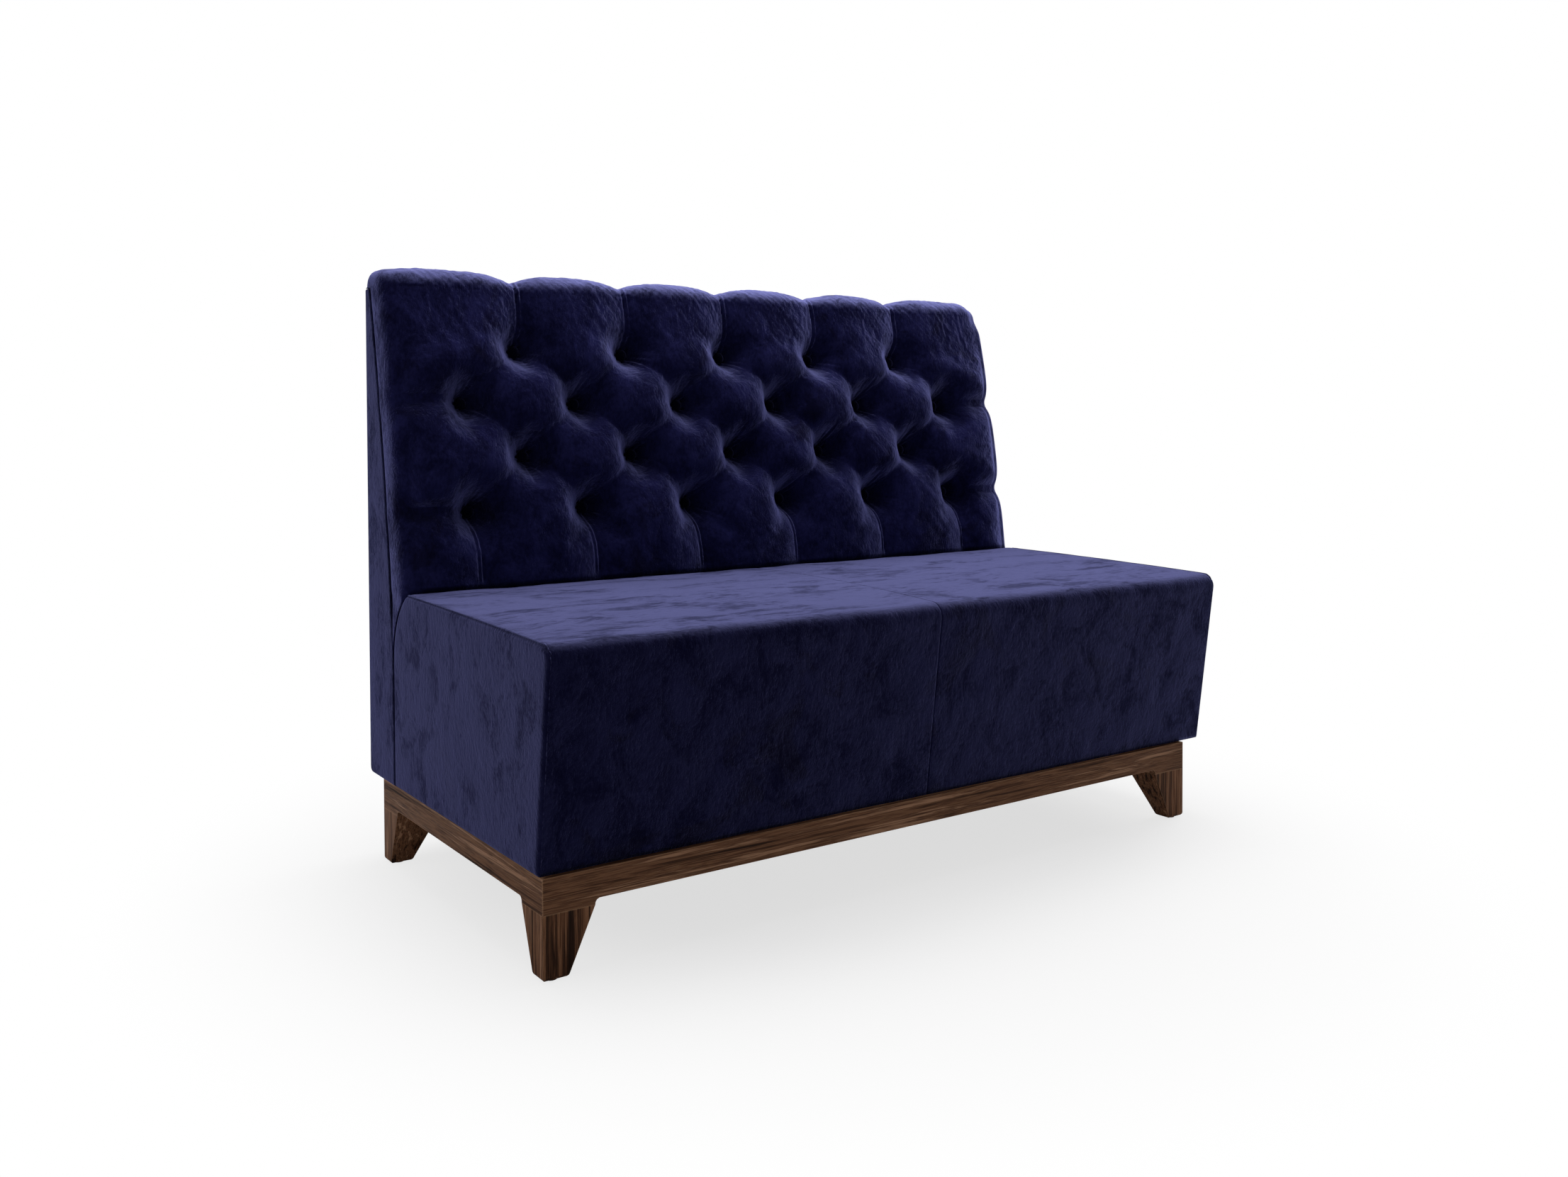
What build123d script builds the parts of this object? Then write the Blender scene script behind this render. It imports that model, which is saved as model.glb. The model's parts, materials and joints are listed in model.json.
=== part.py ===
from build123d import *
import os
from math import acos, asin, atan2, cos, hypot, pi, sin, sqrt

# An upholstered banquette: a mitred walnut base on four tapered legs, a boxed seat whose
# cover is sewn together at the middle, and a wedge-shaped back with a deep-buttoned pad.
# Millimetres. X runs along the bench, Y from the front to the rear, Z up from the floor.
# The origin is on the floor, under the middle of the whole bench.

# Whole bench
body_length = 1300
body_depth = 684
pad_top_height = 962

# Walnut base, which stands nearer the left end and the front than the body on it
base_left_inset = 4
base_right_inset = 54
base_front_inset = 27
base_rear_inset = 59
rail_thickness = 28
rail_height = 39
rail_underside = 95
rail_cheek_drop = 8
rail_fillet = 7.5
leg_top_length = 74
leg_top_width = 63
leg_foot_length = 35
leg_foot_width = 30
leg_foot_fillet = 6
glide_radius = 8.5
glide_thickness = 2
corner_block_side = 68
corner_block_bevel = 34
corner_block_recess = 5

# Fasteners
hole_clearance = 0.15
washer_diameter = 20
washer_thickness = 1.6
washer_well_depth = 12
nut_width = 13
nut_height = 6.5
bolt_diameter = 8
bolt_head_height = 5.3
bolt_tip = 3
leg_bolt_in_leg = 36
leg_bolt_from_side = 44
leg_bolt_from_front = 40
back_bolt_height = 240
base_screw_diameter = 5
base_screw_length = 58
base_screw_recess = 10
block_screw_length = 58
block_screw_from_corner = 58
driver_room = 18
deck_screw_diameter = 4
deck_screw_length = 38
screw_head_share = 2
screws_along_rib = 3

# Boards
board = 18
deck_thickness = 15
deck_vent_radius = 15
deck_vent_rows = 2
back_board_thickness = 9
rear_board_thickness = 4
back_foot_rail_height = 30
back_top_rail_height = 38
dust_cover_thickness = 1
rib_bays = 4

# Upholstery
seat_cover_thickness = 8
side_panel_thickness = 6
rear_panel_thickness = 4
soft_gap = 0.3
joint_gap = 1.2
panel_edge_radius = 2
ease_bend_share = 0.3
shell_corner_radius = 10

# Seat, seen from the side
seat_foot_setback = 36
seat_front_radius = 22
seat_rear_height = 444
seat_front_drop = 10
seat_foam_depth = 106
crevice_reach = 61

# Seat cover: its crown, and how it is drawn in at the sewn middle and at the ends
seat_crown = 5
seat_end_crown = 1.5
seat_end_run = 60
seam_draw_in = 1.8
seam_run = 18
seam_bend_share = 0.4

# Back, whose front leans on one long arc
shell_foot_thickness = 117
shell_top_thickness = 20
lean_sagitta = 11.7
roll_overhang = 3

# Deep buttoning: rows from the top down, the second and fourth one button wider
button_row_count = 4
wide_row_buttons = 6
button_side_margin = 132.5
top_button_drop = 134
low_button_rise = 118
button_radius = 10.5
button_rim = 3
button_height = 8
nail_radius = 1.1
nail_bite = 8
pocket_floor = 8
pocket_mouth_radius = 19
pocket_depth = 30
tuck_half_width = 7
tuck_crown = 1
pleat_at_button = 20
pleat_thickness = 50
crest_thickness = 75
fold_thickness = 46
side_thickness = 48
side_pleat_thickness = 35
roll_crest_radius = 40
roll_fold_radius = 25
roll_side_radius = 31
roll_rise = 34
roll_set_forward = 22
roll_rear_share = 0.45
pad_gap = 1
pad_end_inset = 1
pad_tip_rise = 20
pad_sill_drop = 2
fold_set_back = 11
side_set_back = 6
sill_middle_share = 0.35

# Where the cross-sections of the pad stand, along half a diamond and along one end
diamond_shares = (0, 0.15, 0.32, 0.5, 0.68, 0.85)
end_shares = (0.15, 0.4, 0.7, 0.87, 0.96, 1)

overrun = 5

# Worked out from the sizes above
half_length = body_length / 2
base_length = body_length - base_left_inset - base_right_inset
base_depth = body_depth - base_front_inset - base_rear_inset
shell_height = pad_top_height - roll_rise
seat_front_height = seat_rear_height - seat_front_drop
carcass_top = seat_rear_height - seat_foam_depth
front_y = -body_depth / 2
roll_rear_y = body_depth / 2
rear_y = roll_rear_y - roll_overhang
base_top = rail_underside + rail_height
base_left = -half_length + base_left_inset
base_right = base_left + base_length
base_front = front_y + base_front_inset
base_rear = base_front + base_depth
base_middle = (base_left + base_right) / 2
leg_top = rail_underside - rail_cheek_drop
block_top = base_top - corner_block_recess
washer_seat = block_top - washer_well_depth
carcass_foot = base_top + dust_cover_thickness
cover_foot = base_top + soft_gap
deck_top = carcass_top + deck_thickness
foam_inset = seat_cover_thickness + soft_gap
shell_foot_y = rear_y - shell_foot_thickness
shell_top_y = rear_y - shell_top_thickness
seat_rear_y = shell_foot_y - joint_gap
board_rear_y = rear_y - rear_panel_thickness - rear_board_thickness
back_top_rail_foot = shell_height - back_top_rail_height
back_foot_rail_top = carcass_foot + back_foot_rail_height
boards_half = half_length - side_panel_thickness
rib_right = base_right - rail_thickness / 2
rib_bay = (rib_right + boards_half - board / 2) / rib_bays
rib_places = [rib_right - rib_bay * bay for bay in range(rib_bays)][::-1]
bay_middles = [place - rib_bay / 2 for place in rib_places]
wide_row_half = half_length - button_side_margin
button_pitch = 2 * wide_row_half / (wide_row_buttons - 1)
top_row = pad_top_height - top_button_drop
row_pitch = (top_row - seat_rear_height - low_button_rise) / (button_row_count - 1)
button_rows = [top_row - row_pitch * row for row in range(button_row_count)]

# The seat's front leans forward in a straight line that meets its rounded top edge
front_center = (front_y + seat_front_radius, seat_front_height - seat_front_radius)
front_run = front_center[0] - front_y - seat_foot_setback
front_rise = front_center[1] - cover_foot
front_angle = atan2(front_rise, front_run) + asin(seat_front_radius / hypot(front_run, front_rise))

# The long arc of the back's front
lean_run = shell_top_y - shell_foot_y
lean_rise = shell_height - carcass_top
lean_chord = hypot(lean_run, lean_rise)
lean_radius = lean_chord**2 / (8 * lean_sagitta) + lean_sagitta / 2
lean_reach = lean_radius - lean_sagitta
lean_center_y = (shell_foot_y + shell_top_y) / 2 + lean_reach * lean_rise / lean_chord
lean_center_z = (carcass_top + shell_height) / 2 - lean_reach * lean_run / lean_chord

# The arc of the crevice between the seat and the back
crevice_radius = (crevice_reach**2 + seat_foam_depth**2) / (2 * crevice_reach)
crevice_center_y = seat_rear_y - crevice_radius

UP, DOWN = (0, 0, 1), (0, 0, -1)


def lean(height, ahead=0):
    """The point at a height, so far ahead of the leaning front of the shell."""
    radius = lean_radius + ahead
    return lean_center_y - sqrt(radius**2 - (height - lean_center_z) ** 2), height


def crevice(height, inset=0):
    """The point at a height on the rounded rear of the seat, or so far inside it."""
    radius = crevice_radius - inset
    return crevice_center_y + sqrt(radius**2 - (height - carcass_top) ** 2), height


def seat_front(height, inset=0):
    """The point at a height on the leaning front of the seat, or so far inside it."""
    lean_in = (height - cover_foot) / (sin(front_angle) / cos(front_angle))
    return front_y + seat_foot_setback + lean_in + inset / sin(front_angle), height


def on_circle(center, radius, angle):
    return center[0] + radius * cos(angle), center[1] + radius * sin(angle)


def seat_edge(inset=0):
    """The rounded top edge of the seat's front: where it starts, its middle and its end."""
    start = front_angle + pi / 2
    angles = (start, (start + pi / 2) / 2, pi / 2)
    return [on_circle(front_center, seat_front_radius - inset, angle) for angle in angles]


def bulged(start, end, sagitta):
    """An arc step from start to end, bulged upwards on the way to the rear."""
    run, rise = end[0] - start[0], end[1] - start[1]
    middle = ((start[0] + end[0]) / 2, (start[1] + end[1]) / 2)
    share = sagitta / hypot(run, rise)
    return (middle[0] - rise * share, middle[1] + run * share), end


def outline(x, start, *steps):
    """A closed outline across the bench: each step is a corner, or a point on an arc and its end."""
    edges, here = [], Vector(x, *start)
    for step in steps:
        if isinstance(step[0], tuple):
            through, end = Vector(x, *step[0]), Vector(x, *step[1])
            edges.append(Edge.make_three_point_arc(here, through, end))
        else:
            end = Vector(x, *step)
            edges.append(Edge.make_line(here, end))
        here = end
    edges.append(Edge.make_line(here, Vector(x, *start)))
    return Wire(edges)


def slab(left, right, start, *steps):
    """An outline carried along the bench from left to right."""
    return extrude(Face(outline(left, start, *steps)), amount=right - left, dir=(1, 0, 0))


def block(x, y, z):
    """A box between the two ends of each range."""
    size = [high - low for low, high in (x, y, z)]
    middle = [(low + high) / 2 for low, high in (x, y, z)]
    return Pos(*middle) * Box(*size)


def bar(start, direction, radius, length):
    """A round bar, or the hole for one."""
    low = (Align.CENTER, Align.CENTER, Align.MIN)
    return Plane(origin=start, z_dir=direction) * Cylinder(radius, length, align=low)


def hex_bar(start, direction, length):
    plan = RegularPolygon(nut_width / 2, 6, major_radius=False)
    return Plane(origin=start, z_dir=direction) * extrude(plan, amount=length)


def nut(start, direction):
    return hex_bar(start, direction, nut_height) - bar(
        start, direction, bolt_diameter / 2 + hole_clearance, nut_height
    )


def screw(start, direction, diameter, length, room=0):
    """A countersunk screw with its head flush at the start, or with room the hole for it."""
    radius, head = diameter / 2 + room, diameter / 2 * screw_head_share
    low = (Align.CENTER, Align.CENTER, Align.MIN)
    whole = Cylinder(radius, length + room, align=low) + Cone(
        head + room, radius, head - diameter / 2, align=low
    )
    return Plane(origin=start, z_dir=direction) * whole


# Base
corners = {
    "front_left": (base_left, base_front, 1, 1),
    "front_right": (base_right, base_front, -1, 1),
    "rear_left": (base_left, base_rear, 1, -1),
    "rear_right": (base_right, base_rear, -1, -1),
}


def leg_bolt_place(corner, height):
    x, y, inward_x, inward_y = corner
    return x + inward_x * leg_bolt_from_side, y + inward_y * leg_bolt_from_front, height


def block_screw_lines():
    """Where each corner block is screwed to its two rails."""
    lines = []
    height = (leg_top + block_top) / 2
    head = base_screw_diameter / 2 * screw_head_share
    near = block_screw_from_corner
    far = corner_block_side + corner_block_bevel - near - head
    for x, y, inward_x, inward_y in corners.values():
        x, y = x + inward_x * rail_thickness, y + inward_y * rail_thickness
        lines.append(((x + inward_x * near, y + inward_y * far, height), (0, -inward_y, 0)))
        lines.append(((x + inward_x * far, y + inward_y * near, height), (-inward_x, 0, 0)))
    return lines


def base_screw_places():
    """Where screws go up through the base rails into the boards that stand on them."""
    height = rail_underside + base_screw_recess
    front = (base_front + rail_thickness + seat_front(carcass_foot, foam_inset)[0]) / 2
    rear = base_rear - rail_thickness / 2
    along = (-boards_half + board / 2, rib_places[1], rib_right)
    depths = [base_front + base_depth * share for share in (1 / 4, 3 / 4)]
    places = [(x, y, height) for x in along for y in depths]
    places += [(x, front, height) for x in bay_middles[1:3]]
    return places + [(x, rear, height) for x in bay_middles]


def deck_screw_places():
    """Where the deck is screwed down to the end boards and the ribs."""
    front = seat_front(carcass_top, foam_inset + board)[0]
    pitch = (seat_rear_y - board - front) / screws_along_rib
    along = [-boards_half + board / 2, *rib_places, boards_half - board / 2]
    depths = [front + pitch * (place + 1 / 2) for place in range(screws_along_rib)]
    return [(x, y, deck_top) for x in along for y in depths]


def sunk_hole(start, way, length):
    """The hole for a screw through the base, with room for its head and the driver."""
    away = tuple(-part for part in way)
    head = base_screw_diameter / 2 * screw_head_share + hole_clearance
    hole = screw(start, way, base_screw_diameter, length, hole_clearance)
    return hole + bar(start, away, head, driver_room)


block_screw_holes = [
    sunk_hole(start, way, block_screw_length) for start, way in block_screw_lines()
]
base_screw_holes = [sunk_hole(place, UP, base_screw_length) for place in base_screw_places()]
deck_screw_holes = [
    screw(place, DOWN, deck_screw_diameter, deck_screw_length, hole_clearance)
    for place in deck_screw_places()
]


def rail(length, cheek):
    """A rail along X with its face at y = 0, deeper over the two legs, mitred at both ends."""
    low = -rail_cheek_drop
    face = make_face(
        Polyline(
            (0, rail_height), (0, low), (cheek, low), (cheek, 0),
            (length - cheek, 0), (length - cheek, low), (length, low), (length, rail_height),
            close=True,
        )
    )
    face = fillet([corner for corner in face.vertices() if corner.Y == 0], rail_fillet)
    mitred = Polyline(
        (0, 0), (length, 0), (length - rail_thickness, rail_thickness),
        (rail_thickness, rail_thickness), close=True,
    )
    keep = Pos(0, 0, low) * extrude(make_face(mitred), amount=rail_height - low)
    return extrude(Plane.XZ * face, amount=-rail_thickness) & keep


def base_rails():
    along, across = rail(base_length, leg_top_length), rail(base_depth, leg_top_width)
    middle = block(
        (base_middle - rail_thickness / 2, base_middle + rail_thickness / 2),
        (base_front + rail_thickness, base_rear - rail_thickness),
        (rail_underside, base_top),
    )
    rails = {
        "front": Pos(base_left, base_front, rail_underside) * along,
        "rear": Pos(base_right, base_rear, rail_underside) * Rot(0, 0, 180) * along,
        "left": Pos(base_left, base_rear, rail_underside) * Rot(0, 0, -90) * across,
        "right": Pos(base_right, base_front, rail_underside) * Rot(0, 0, 90) * across,
        "middle": middle,
    }
    return {side: body - block_screw_holes - base_screw_holes for side, body in rails.items()}


def leg(corner):
    """Upright on its two outer faces, tapered on the two inner ones."""
    x, y, inward_x, inward_y = corner

    def rectangle(length, width, height):
        middle = Pos(x + inward_x * length / 2, y + inward_y * width / 2, height)
        return middle * Rectangle(length, width)

    foot = rectangle(leg_foot_length, leg_foot_width, glide_thickness)
    body = loft([foot, rectangle(leg_top_length, leg_top_width, leg_top)], ruled=True)
    body = fillet(body.faces().sort_by(Axis.Z)[0].edges(), leg_foot_fillet)
    start = leg_bolt_place(corner, leg_top - leg_bolt_in_leg)
    return body - bar(start, UP, bolt_diameter / 2 + hole_clearance, leg_top)


def corner_block(corner):
    """Behind each corner of the base, with a well for the nut of the leg's bolt."""
    x, y, inward_x, inward_y = corner
    side, bevel = corner_block_side, corner_block_bevel
    places = ((0, 0), (side, 0), (side, bevel), (bevel, side), (0, side))
    x_in, y_in = x + inward_x * rail_thickness, y + inward_y * rail_thickness
    plan = Polyline(*[(x_in + inward_x * a, y_in + inward_y * b) for a, b in places], close=True)
    body = Pos(0, 0, leg_top) * extrude(make_face(plan), amount=block_top - leg_top, dir=UP)
    hole = bar(leg_bolt_place(corner, 0), UP, bolt_diameter / 2 + hole_clearance, base_top)
    well = bar(leg_bolt_place(corner, washer_seat), UP, washer_diameter / 2 + joint_gap / 2, base_top)
    return body - hole - well - block_screw_holes


def leg_bolts():
    low, high = leg_top - leg_bolt_in_leg, washer_seat + washer_thickness + nut_height + bolt_tip
    return [
        bar(leg_bolt_place(corner, low), UP, bolt_diameter / 2, high - low)
        for corner in corners.values()
    ]


def leg_washers():
    ring = Circle(washer_diameter / 2) - Circle(bolt_diameter / 2 + hole_clearance)
    body = extrude(ring, amount=washer_thickness)
    return [Pos(*leg_bolt_place(corner, washer_seat)) * body for corner in corners.values()]


def leg_nuts():
    seat = washer_seat + washer_thickness
    return [nut(leg_bolt_place(corner, seat), UP) for corner in corners.values()]


def glides():
    body = bar((0, 0, 0), UP, glide_radius, glide_thickness)
    return [
        Pos(x + inward_x * leg_foot_length / 2, y + inward_y * leg_foot_width / 2) * body
        for x, y, inward_x, inward_y in corners.values()
    ]


def dust_cover():
    front = seat_front(carcass_foot, foam_inset)[0]
    body = block((-boards_half, boards_half), (front, board_rear_y), (base_top, carcass_foot))
    return body - base_screw_holes


# Seat
def seat_end_board(left):
    """An end board or a rib: its front edge leans with the front board."""
    inset = foam_inset + board
    rear = seat_rear_y - board
    body = slab(
        left, left + board,
        seat_front(carcass_foot, inset), seat_front(carcass_top, inset),
        (rear, carcass_top), (rear, carcass_foot),
    )
    return body - base_screw_holes - deck_screw_holes


def seat_front_board():
    low, high, back = carcass_foot, carcass_top, foam_inset + board
    body = slab(
        -boards_half, boards_half,
        seat_front(low, foam_inset), seat_front(high, foam_inset),
        seat_front(high, back), seat_front(low, back),
    )
    return body - base_screw_holes


def seat_rear_board():
    span = (seat_rear_y - board, seat_rear_y)
    body = block((-boards_half, boards_half), span, (carcass_foot, carcass_top))
    return body - back_bolt_holes()


def seat_deck():
    """The board under the foam, with holes that let the foam breathe."""
    front, rear = seat_front(deck_top, foam_inset)[0], crevice(deck_top, foam_inset)[0]
    body = slab(
        -boards_half, boards_half,
        seat_front(carcass_top, foam_inset), (front, deck_top), (rear, deck_top), (rear, carcass_top),
    )
    pitch = (rear - front) / (deck_vent_rows + 1)
    low, reach = carcass_top - overrun, deck_thickness + 2 * overrun
    vents = [
        bar((x, front + pitch * (row + 1), low), UP, deck_vent_radius, reach)
        for x in bay_middles for row in range(deck_vent_rows)
    ]
    return body - vents - deck_screw_holes


def seat_foam():
    start, middle, end = seat_edge(foam_inset)
    top_rear = crevice(seat_rear_height - foam_inset, foam_inset)
    return slab(
        -boards_half, boards_half,
        seat_front(deck_top, foam_inset), start, (middle, end), top_rear,
        (crevice((top_rear[1] + deck_top) / 2, foam_inset), crevice(deck_top, foam_inset)),
    )


def seat_path(draw_in, crown):
    """The visible line of the seat from the foot of its front to the bottom of the crevice."""
    start, middle, end = seat_edge(draw_in)
    top_rear = crevice(seat_rear_height - draw_in, draw_in)
    low_rear = crevice(carcass_top + soft_gap, draw_in)
    return [
        seat_front(cover_foot, draw_in), start, (middle, end), bulged(end, top_rear, crown),
        (crevice((top_rear[1] + low_rear[1]) / 2, draw_in), low_rear),
    ]


def seat_cover(side):
    """The cover of one half, crowned, drawn in at the seam in the middle and hollow underneath."""
    start, middle, end = seat_edge(seat_cover_thickness)
    top_rear = crevice(seat_rear_height - seat_cover_thickness, seat_cover_thickness)
    low_rear = crevice(carcass_top + soft_gap, seat_cover_thickness)
    inside = [
        low_rear, (crevice((top_rear[1] + low_rear[1]) / 2, seat_cover_thickness), top_rear),
        end, (middle, start), seat_front(cover_foot, seat_cover_thickness),
    ]
    bend = seam_bend_share
    stations = (
        (boards_half, 0, seat_end_crown),
        (boards_half - seat_end_run, 0, seat_crown),
        (seam_run, 0, seat_crown),
        (seam_run * bend, seam_draw_in * bend**2, seat_crown),
        (soft_gap / 2, seam_draw_in, seat_crown),
    )
    sections = [
        outline(side * x, *seat_path(draw_in, crown), *inside) for x, draw_in, crown in stations
    ]
    return Solid.make_loft(sections, ruled=True)


def eased_panel(side, outline_at):
    """A side panel whose outer edges are rounded over."""
    ease = panel_edge_radius
    stations = (
        (boards_half, 0), (half_length - ease, 0),
        (half_length - ease * ease_bend_share, ease * ease_bend_share), (half_length, ease),
    )
    return Solid.make_loft([outline_at(side * x, inset) for x, inset in stations], ruled=True)


def seat_side_outline(x, inset):
    top_rear = crevice(seat_rear_height - inset, inset)
    return outline(
        x, seat_front(cover_foot + inset, inset), *seat_path(inset, seat_end_crown)[1:-1],
        (crevice((top_rear[1] + carcass_top) / 2, inset), crevice(carcass_top, inset)),
        (seat_rear_y - inset, cover_foot + inset),
    )


# Back
def shell_side_outline(x, inset):
    radius = shell_corner_radius
    center = (rear_y - radius, cover_foot + radius)
    top, rear, foot = shell_height - inset, rear_y - inset, cover_foot + inset
    return outline(
        x, (shell_foot_y + inset, foot), (center[0], foot),
        (on_circle(center, radius - inset, -pi / 4), (rear, center[1])), (rear, top),
        lean(top, -inset), (lean((top + carcass_top) / 2, -inset), (shell_foot_y + inset, carcass_top)),
    )


def shell_rear_panel():
    radius = shell_corner_radius
    center = (rear_y - radius, cover_foot + radius)
    inner = rear_y - rear_panel_thickness
    low = center[1] - sqrt(radius**2 - (inner - center[0]) ** 2)
    angle = atan2(low - center[1], inner - center[0]) / 2
    return slab(
        -boards_half, boards_half,
        (inner, low), (on_circle(center, radius, angle), (rear_y, center[1])),
        (rear_y, shell_height), (inner, shell_height),
    )


def back_rear_board():
    low = cover_foot + shell_corner_radius / 2
    span = (board_rear_y, board_rear_y + rear_board_thickness)
    return block((-boards_half, boards_half), span, (low, shell_height))


def back_rib(left):
    """A wedge that carries the bent board of the back."""
    front, inset = shell_foot_y + board, -back_board_thickness
    low, high = carcass_top, back_top_rail_foot
    return slab(
        left, left + board,
        (front, back_foot_rail_top), (front, low), lean(low, inset),
        (lean((low + high) / 2, inset), lean(high, inset)),
        (board_rear_y, high), (board_rear_y, back_foot_rail_top),
    )


def back_foot_rail():
    span = (shell_foot_y, board_rear_y)
    body = block((-boards_half, boards_half), span, (carcass_foot, back_foot_rail_top))
    return body - base_screw_holes


def back_bolt_lines():
    return [((x, shell_foot_y + board, back_bolt_height), (0, -1, 0)) for x in bay_middles]


def back_bolt_holes():
    radius, reach = bolt_diameter / 2 + hole_clearance, 2 * board + joint_gap + overrun
    return [bar(start, way, radius, reach) for start, way in back_bolt_lines()]


def back_bolt_rail():
    span = (shell_foot_y, shell_foot_y + board)
    body = block((-boards_half, boards_half), span, (back_foot_rail_top, carcass_top))
    return body - back_bolt_holes()


def back_bolts():
    reach = 2 * board + joint_gap + nut_height + bolt_tip
    return [
        bar(start, way, bolt_diameter / 2, reach) + hex_bar(start, (0, 1, 0), bolt_head_height)
        for start, way in back_bolt_lines()
    ]


def back_nuts():
    return [nut((x, seat_rear_y - board, z), way) for (x, y, z), way in back_bolt_lines()]


def back_top_rail():
    low, high = back_top_rail_foot, shell_height
    return slab(
        -boards_half, boards_half,
        lean(low), (lean((low + high) / 2), lean(high)), (board_rear_y, high), (board_rear_y, low),
    )


def back_board():
    """The bent board that the buttons are nailed to."""
    low, high, back = carcass_top, back_top_rail_foot, -back_board_thickness
    middle = (low + high) / 2
    body = slab(
        -boards_half, boards_half,
        lean(low), (lean(middle), lean(high)),
        lean(high, back), (lean(middle, back), lean(low, back)),
    )
    return body - [place * nail(hole_clearance) for place in button_places()]


# Deep-buttoned pad
def button_places():
    """The floor of each button's pocket, square to the leaning front."""
    places = []
    for row, height in enumerate(button_rows):
        count = wide_row_buttons - (row + 1) % 2
        y, z = lean(height, pocket_floor)
        way = (0, y - lean_center_y, z - lean_center_z)
        for button in range(count):
            x = (button - (count - 1) / 2) * button_pitch
            places.append(Plane(origin=(x, y, z), x_dir=(1, 0, 0), z_dir=way).location)
    return places


def nail(room=0):
    high = (Align.CENTER, Align.CENTER, Align.MAX)
    length = soft_gap + pocket_floor + nail_bite + room
    return Pos(0, 0, soft_gap) * Cylinder(nail_radius + room, length, align=high)


def button():
    """A covered button: a domed cap on its nail."""
    rim, top = (button_radius, button_rim), (0, button_height)
    rise = button_height - button_rim
    dome = (button_radius**2 + rise**2) / (2 * rise)
    shoulder = on_circle((0, button_height - dome), dome, (pi / 2 + acos(button_radius / dome)) / 2)
    half = Polyline(top, (0, 0), (button_radius, 0), rim) + ThreePointArc(rim, shoulder, top)
    cap = revolve(Plane.XZ * make_face(half), Axis.Z)
    return Pos(0, 0, soft_gap) * cap + nail()


def pocket():
    """The funnel that a button pulls into the pad, with the nail's hole at its bottom."""
    low = (Align.CENTER, Align.CENTER, Align.MIN)
    funnel = Cone(button_radius + soft_gap, pocket_mouth_radius, pocket_depth, align=low)
    return funnel + nail(hole_clearance)


def swell(low, high, share):
    """From low to high as the share goes from 0 to 1, steep at first and level at the end."""
    return low + (high - low) * (1 - (1 - share) ** 3)


def pad_section(x, pleats, pleat, crests, roll, set_back):
    """Across the pad: its back, the tip in the crevice, its lobes and the roll over the top."""
    tip, sill = carcass_top + pad_tip_rise, seat_rear_height - pad_sill_drop
    under = shell_height + soft_gap
    tip_middle = crevice((tip + sill) / 2, -pad_gap - set_back * sill_middle_share)
    points = [crevice(sill, -pad_gap - set_back), *[lean(height, pleat) for height in pleats]]
    roll_y, roll_z = shell_top_y - roll_set_forward, pad_top_height - roll_crest_radius
    slope = asin((shell_height - lean_center_z) / lean_radius)
    points.append(on_circle((roll_y, roll_z), roll, pi - slope))
    lobes = [
        (lean((low[1] + high[1]) / 2, crest), high)
        for low, high, crest in zip(points, points[1:], crests)
    ]
    rear_radius = roll * roll_rear_share
    rear = (roll_rear_y - roll_crest_radius * roll_rear_share, roll_z + roll - rear_radius)
    end_angle = asin((under - rear[1]) / rear_radius)
    return outline(
        x, lean(under, soft_gap), (lean((under + tip) / 2, soft_gap), lean(tip, soft_gap)),
        crevice(tip, -pad_gap), (tip_middle, points[0]), *lobes,
        (on_circle((roll_y, roll_z), roll, (pi - slope + pi / 2) / 2), (roll_y, roll_z + roll)),
        (rear[0], roll_z + roll),
        (
            on_circle(rear, rear_radius, (pi / 2 + end_angle) / 2),
            on_circle(rear, rear_radius, end_angle),
        ),
    )


def diamond_section(x, share):
    """Between a column of the wide rows, at share 0, and one of the narrow rows, at share 1."""
    top, upper, lower, bottom = button_rows
    tuck, back = tuck_half_width, 1 - share
    pleats = (
        bottom + (lower - tuck - bottom) * share,
        upper - tuck + (lower - upper + 2 * tuck) * share,
        upper + tuck + (top - upper - tuck) * share,
    )
    pleat = swell(pleat_at_button, pleat_thickness, 1 - abs(2 * share - 1))
    floor = pleat_at_button + tuck_crown
    crests = (
        swell(fold_thickness, crest_thickness, share),
        swell(floor, crest_thickness, back),
        swell(floor, crest_thickness, share),
        swell(fold_thickness, crest_thickness, back),
    )
    roll = swell(roll_fold_radius, roll_crest_radius, back)
    return pad_section(x, pleats, pleat, crests, roll, swell(fold_set_back, 0, share))


def end_section(x, share):
    """Between the outer column of the wide rows, at share 0, and the end of the pad, at share 1."""
    upper, bottom = button_rows[1], button_rows[3]
    pleats = (bottom, upper - tuck_half_width, upper + tuck_half_width)
    pleat = swell(pleat_at_button, side_pleat_thickness, share)
    side = swell(side_thickness, crest_thickness, 1 - share)
    crests = (swell(fold_thickness, side, min(1, 2 * share)), side, pleat + tuck_crown, side)
    roll = swell(roll_side_radius, roll_crest_radius, 1 - share)
    return pad_section(x, pleats, pleat, crests, roll, swell(fold_set_back, side_set_back, share))


def back_pad():
    margin = button_side_margin - pad_end_inset
    half_pitch = button_pitch / 2
    sections = [end_section(-wide_row_half - margin * share, share) for share in end_shares[::-1]]
    for span in range(2 * (wide_row_buttons - 1)):
        for share in diamond_shares:
            across = share if span % 2 == 0 else 1 - share
            sections.append(diamond_section(-wide_row_half + (span + share) * half_pitch, across))
    sections.append(diamond_section(wide_row_half, 0))
    sections += [end_section(wide_row_half + margin * share, share) for share in end_shares]
    return Solid.make_loft(sections, ruled=True) - [place * pocket() for place in button_places()]


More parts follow.
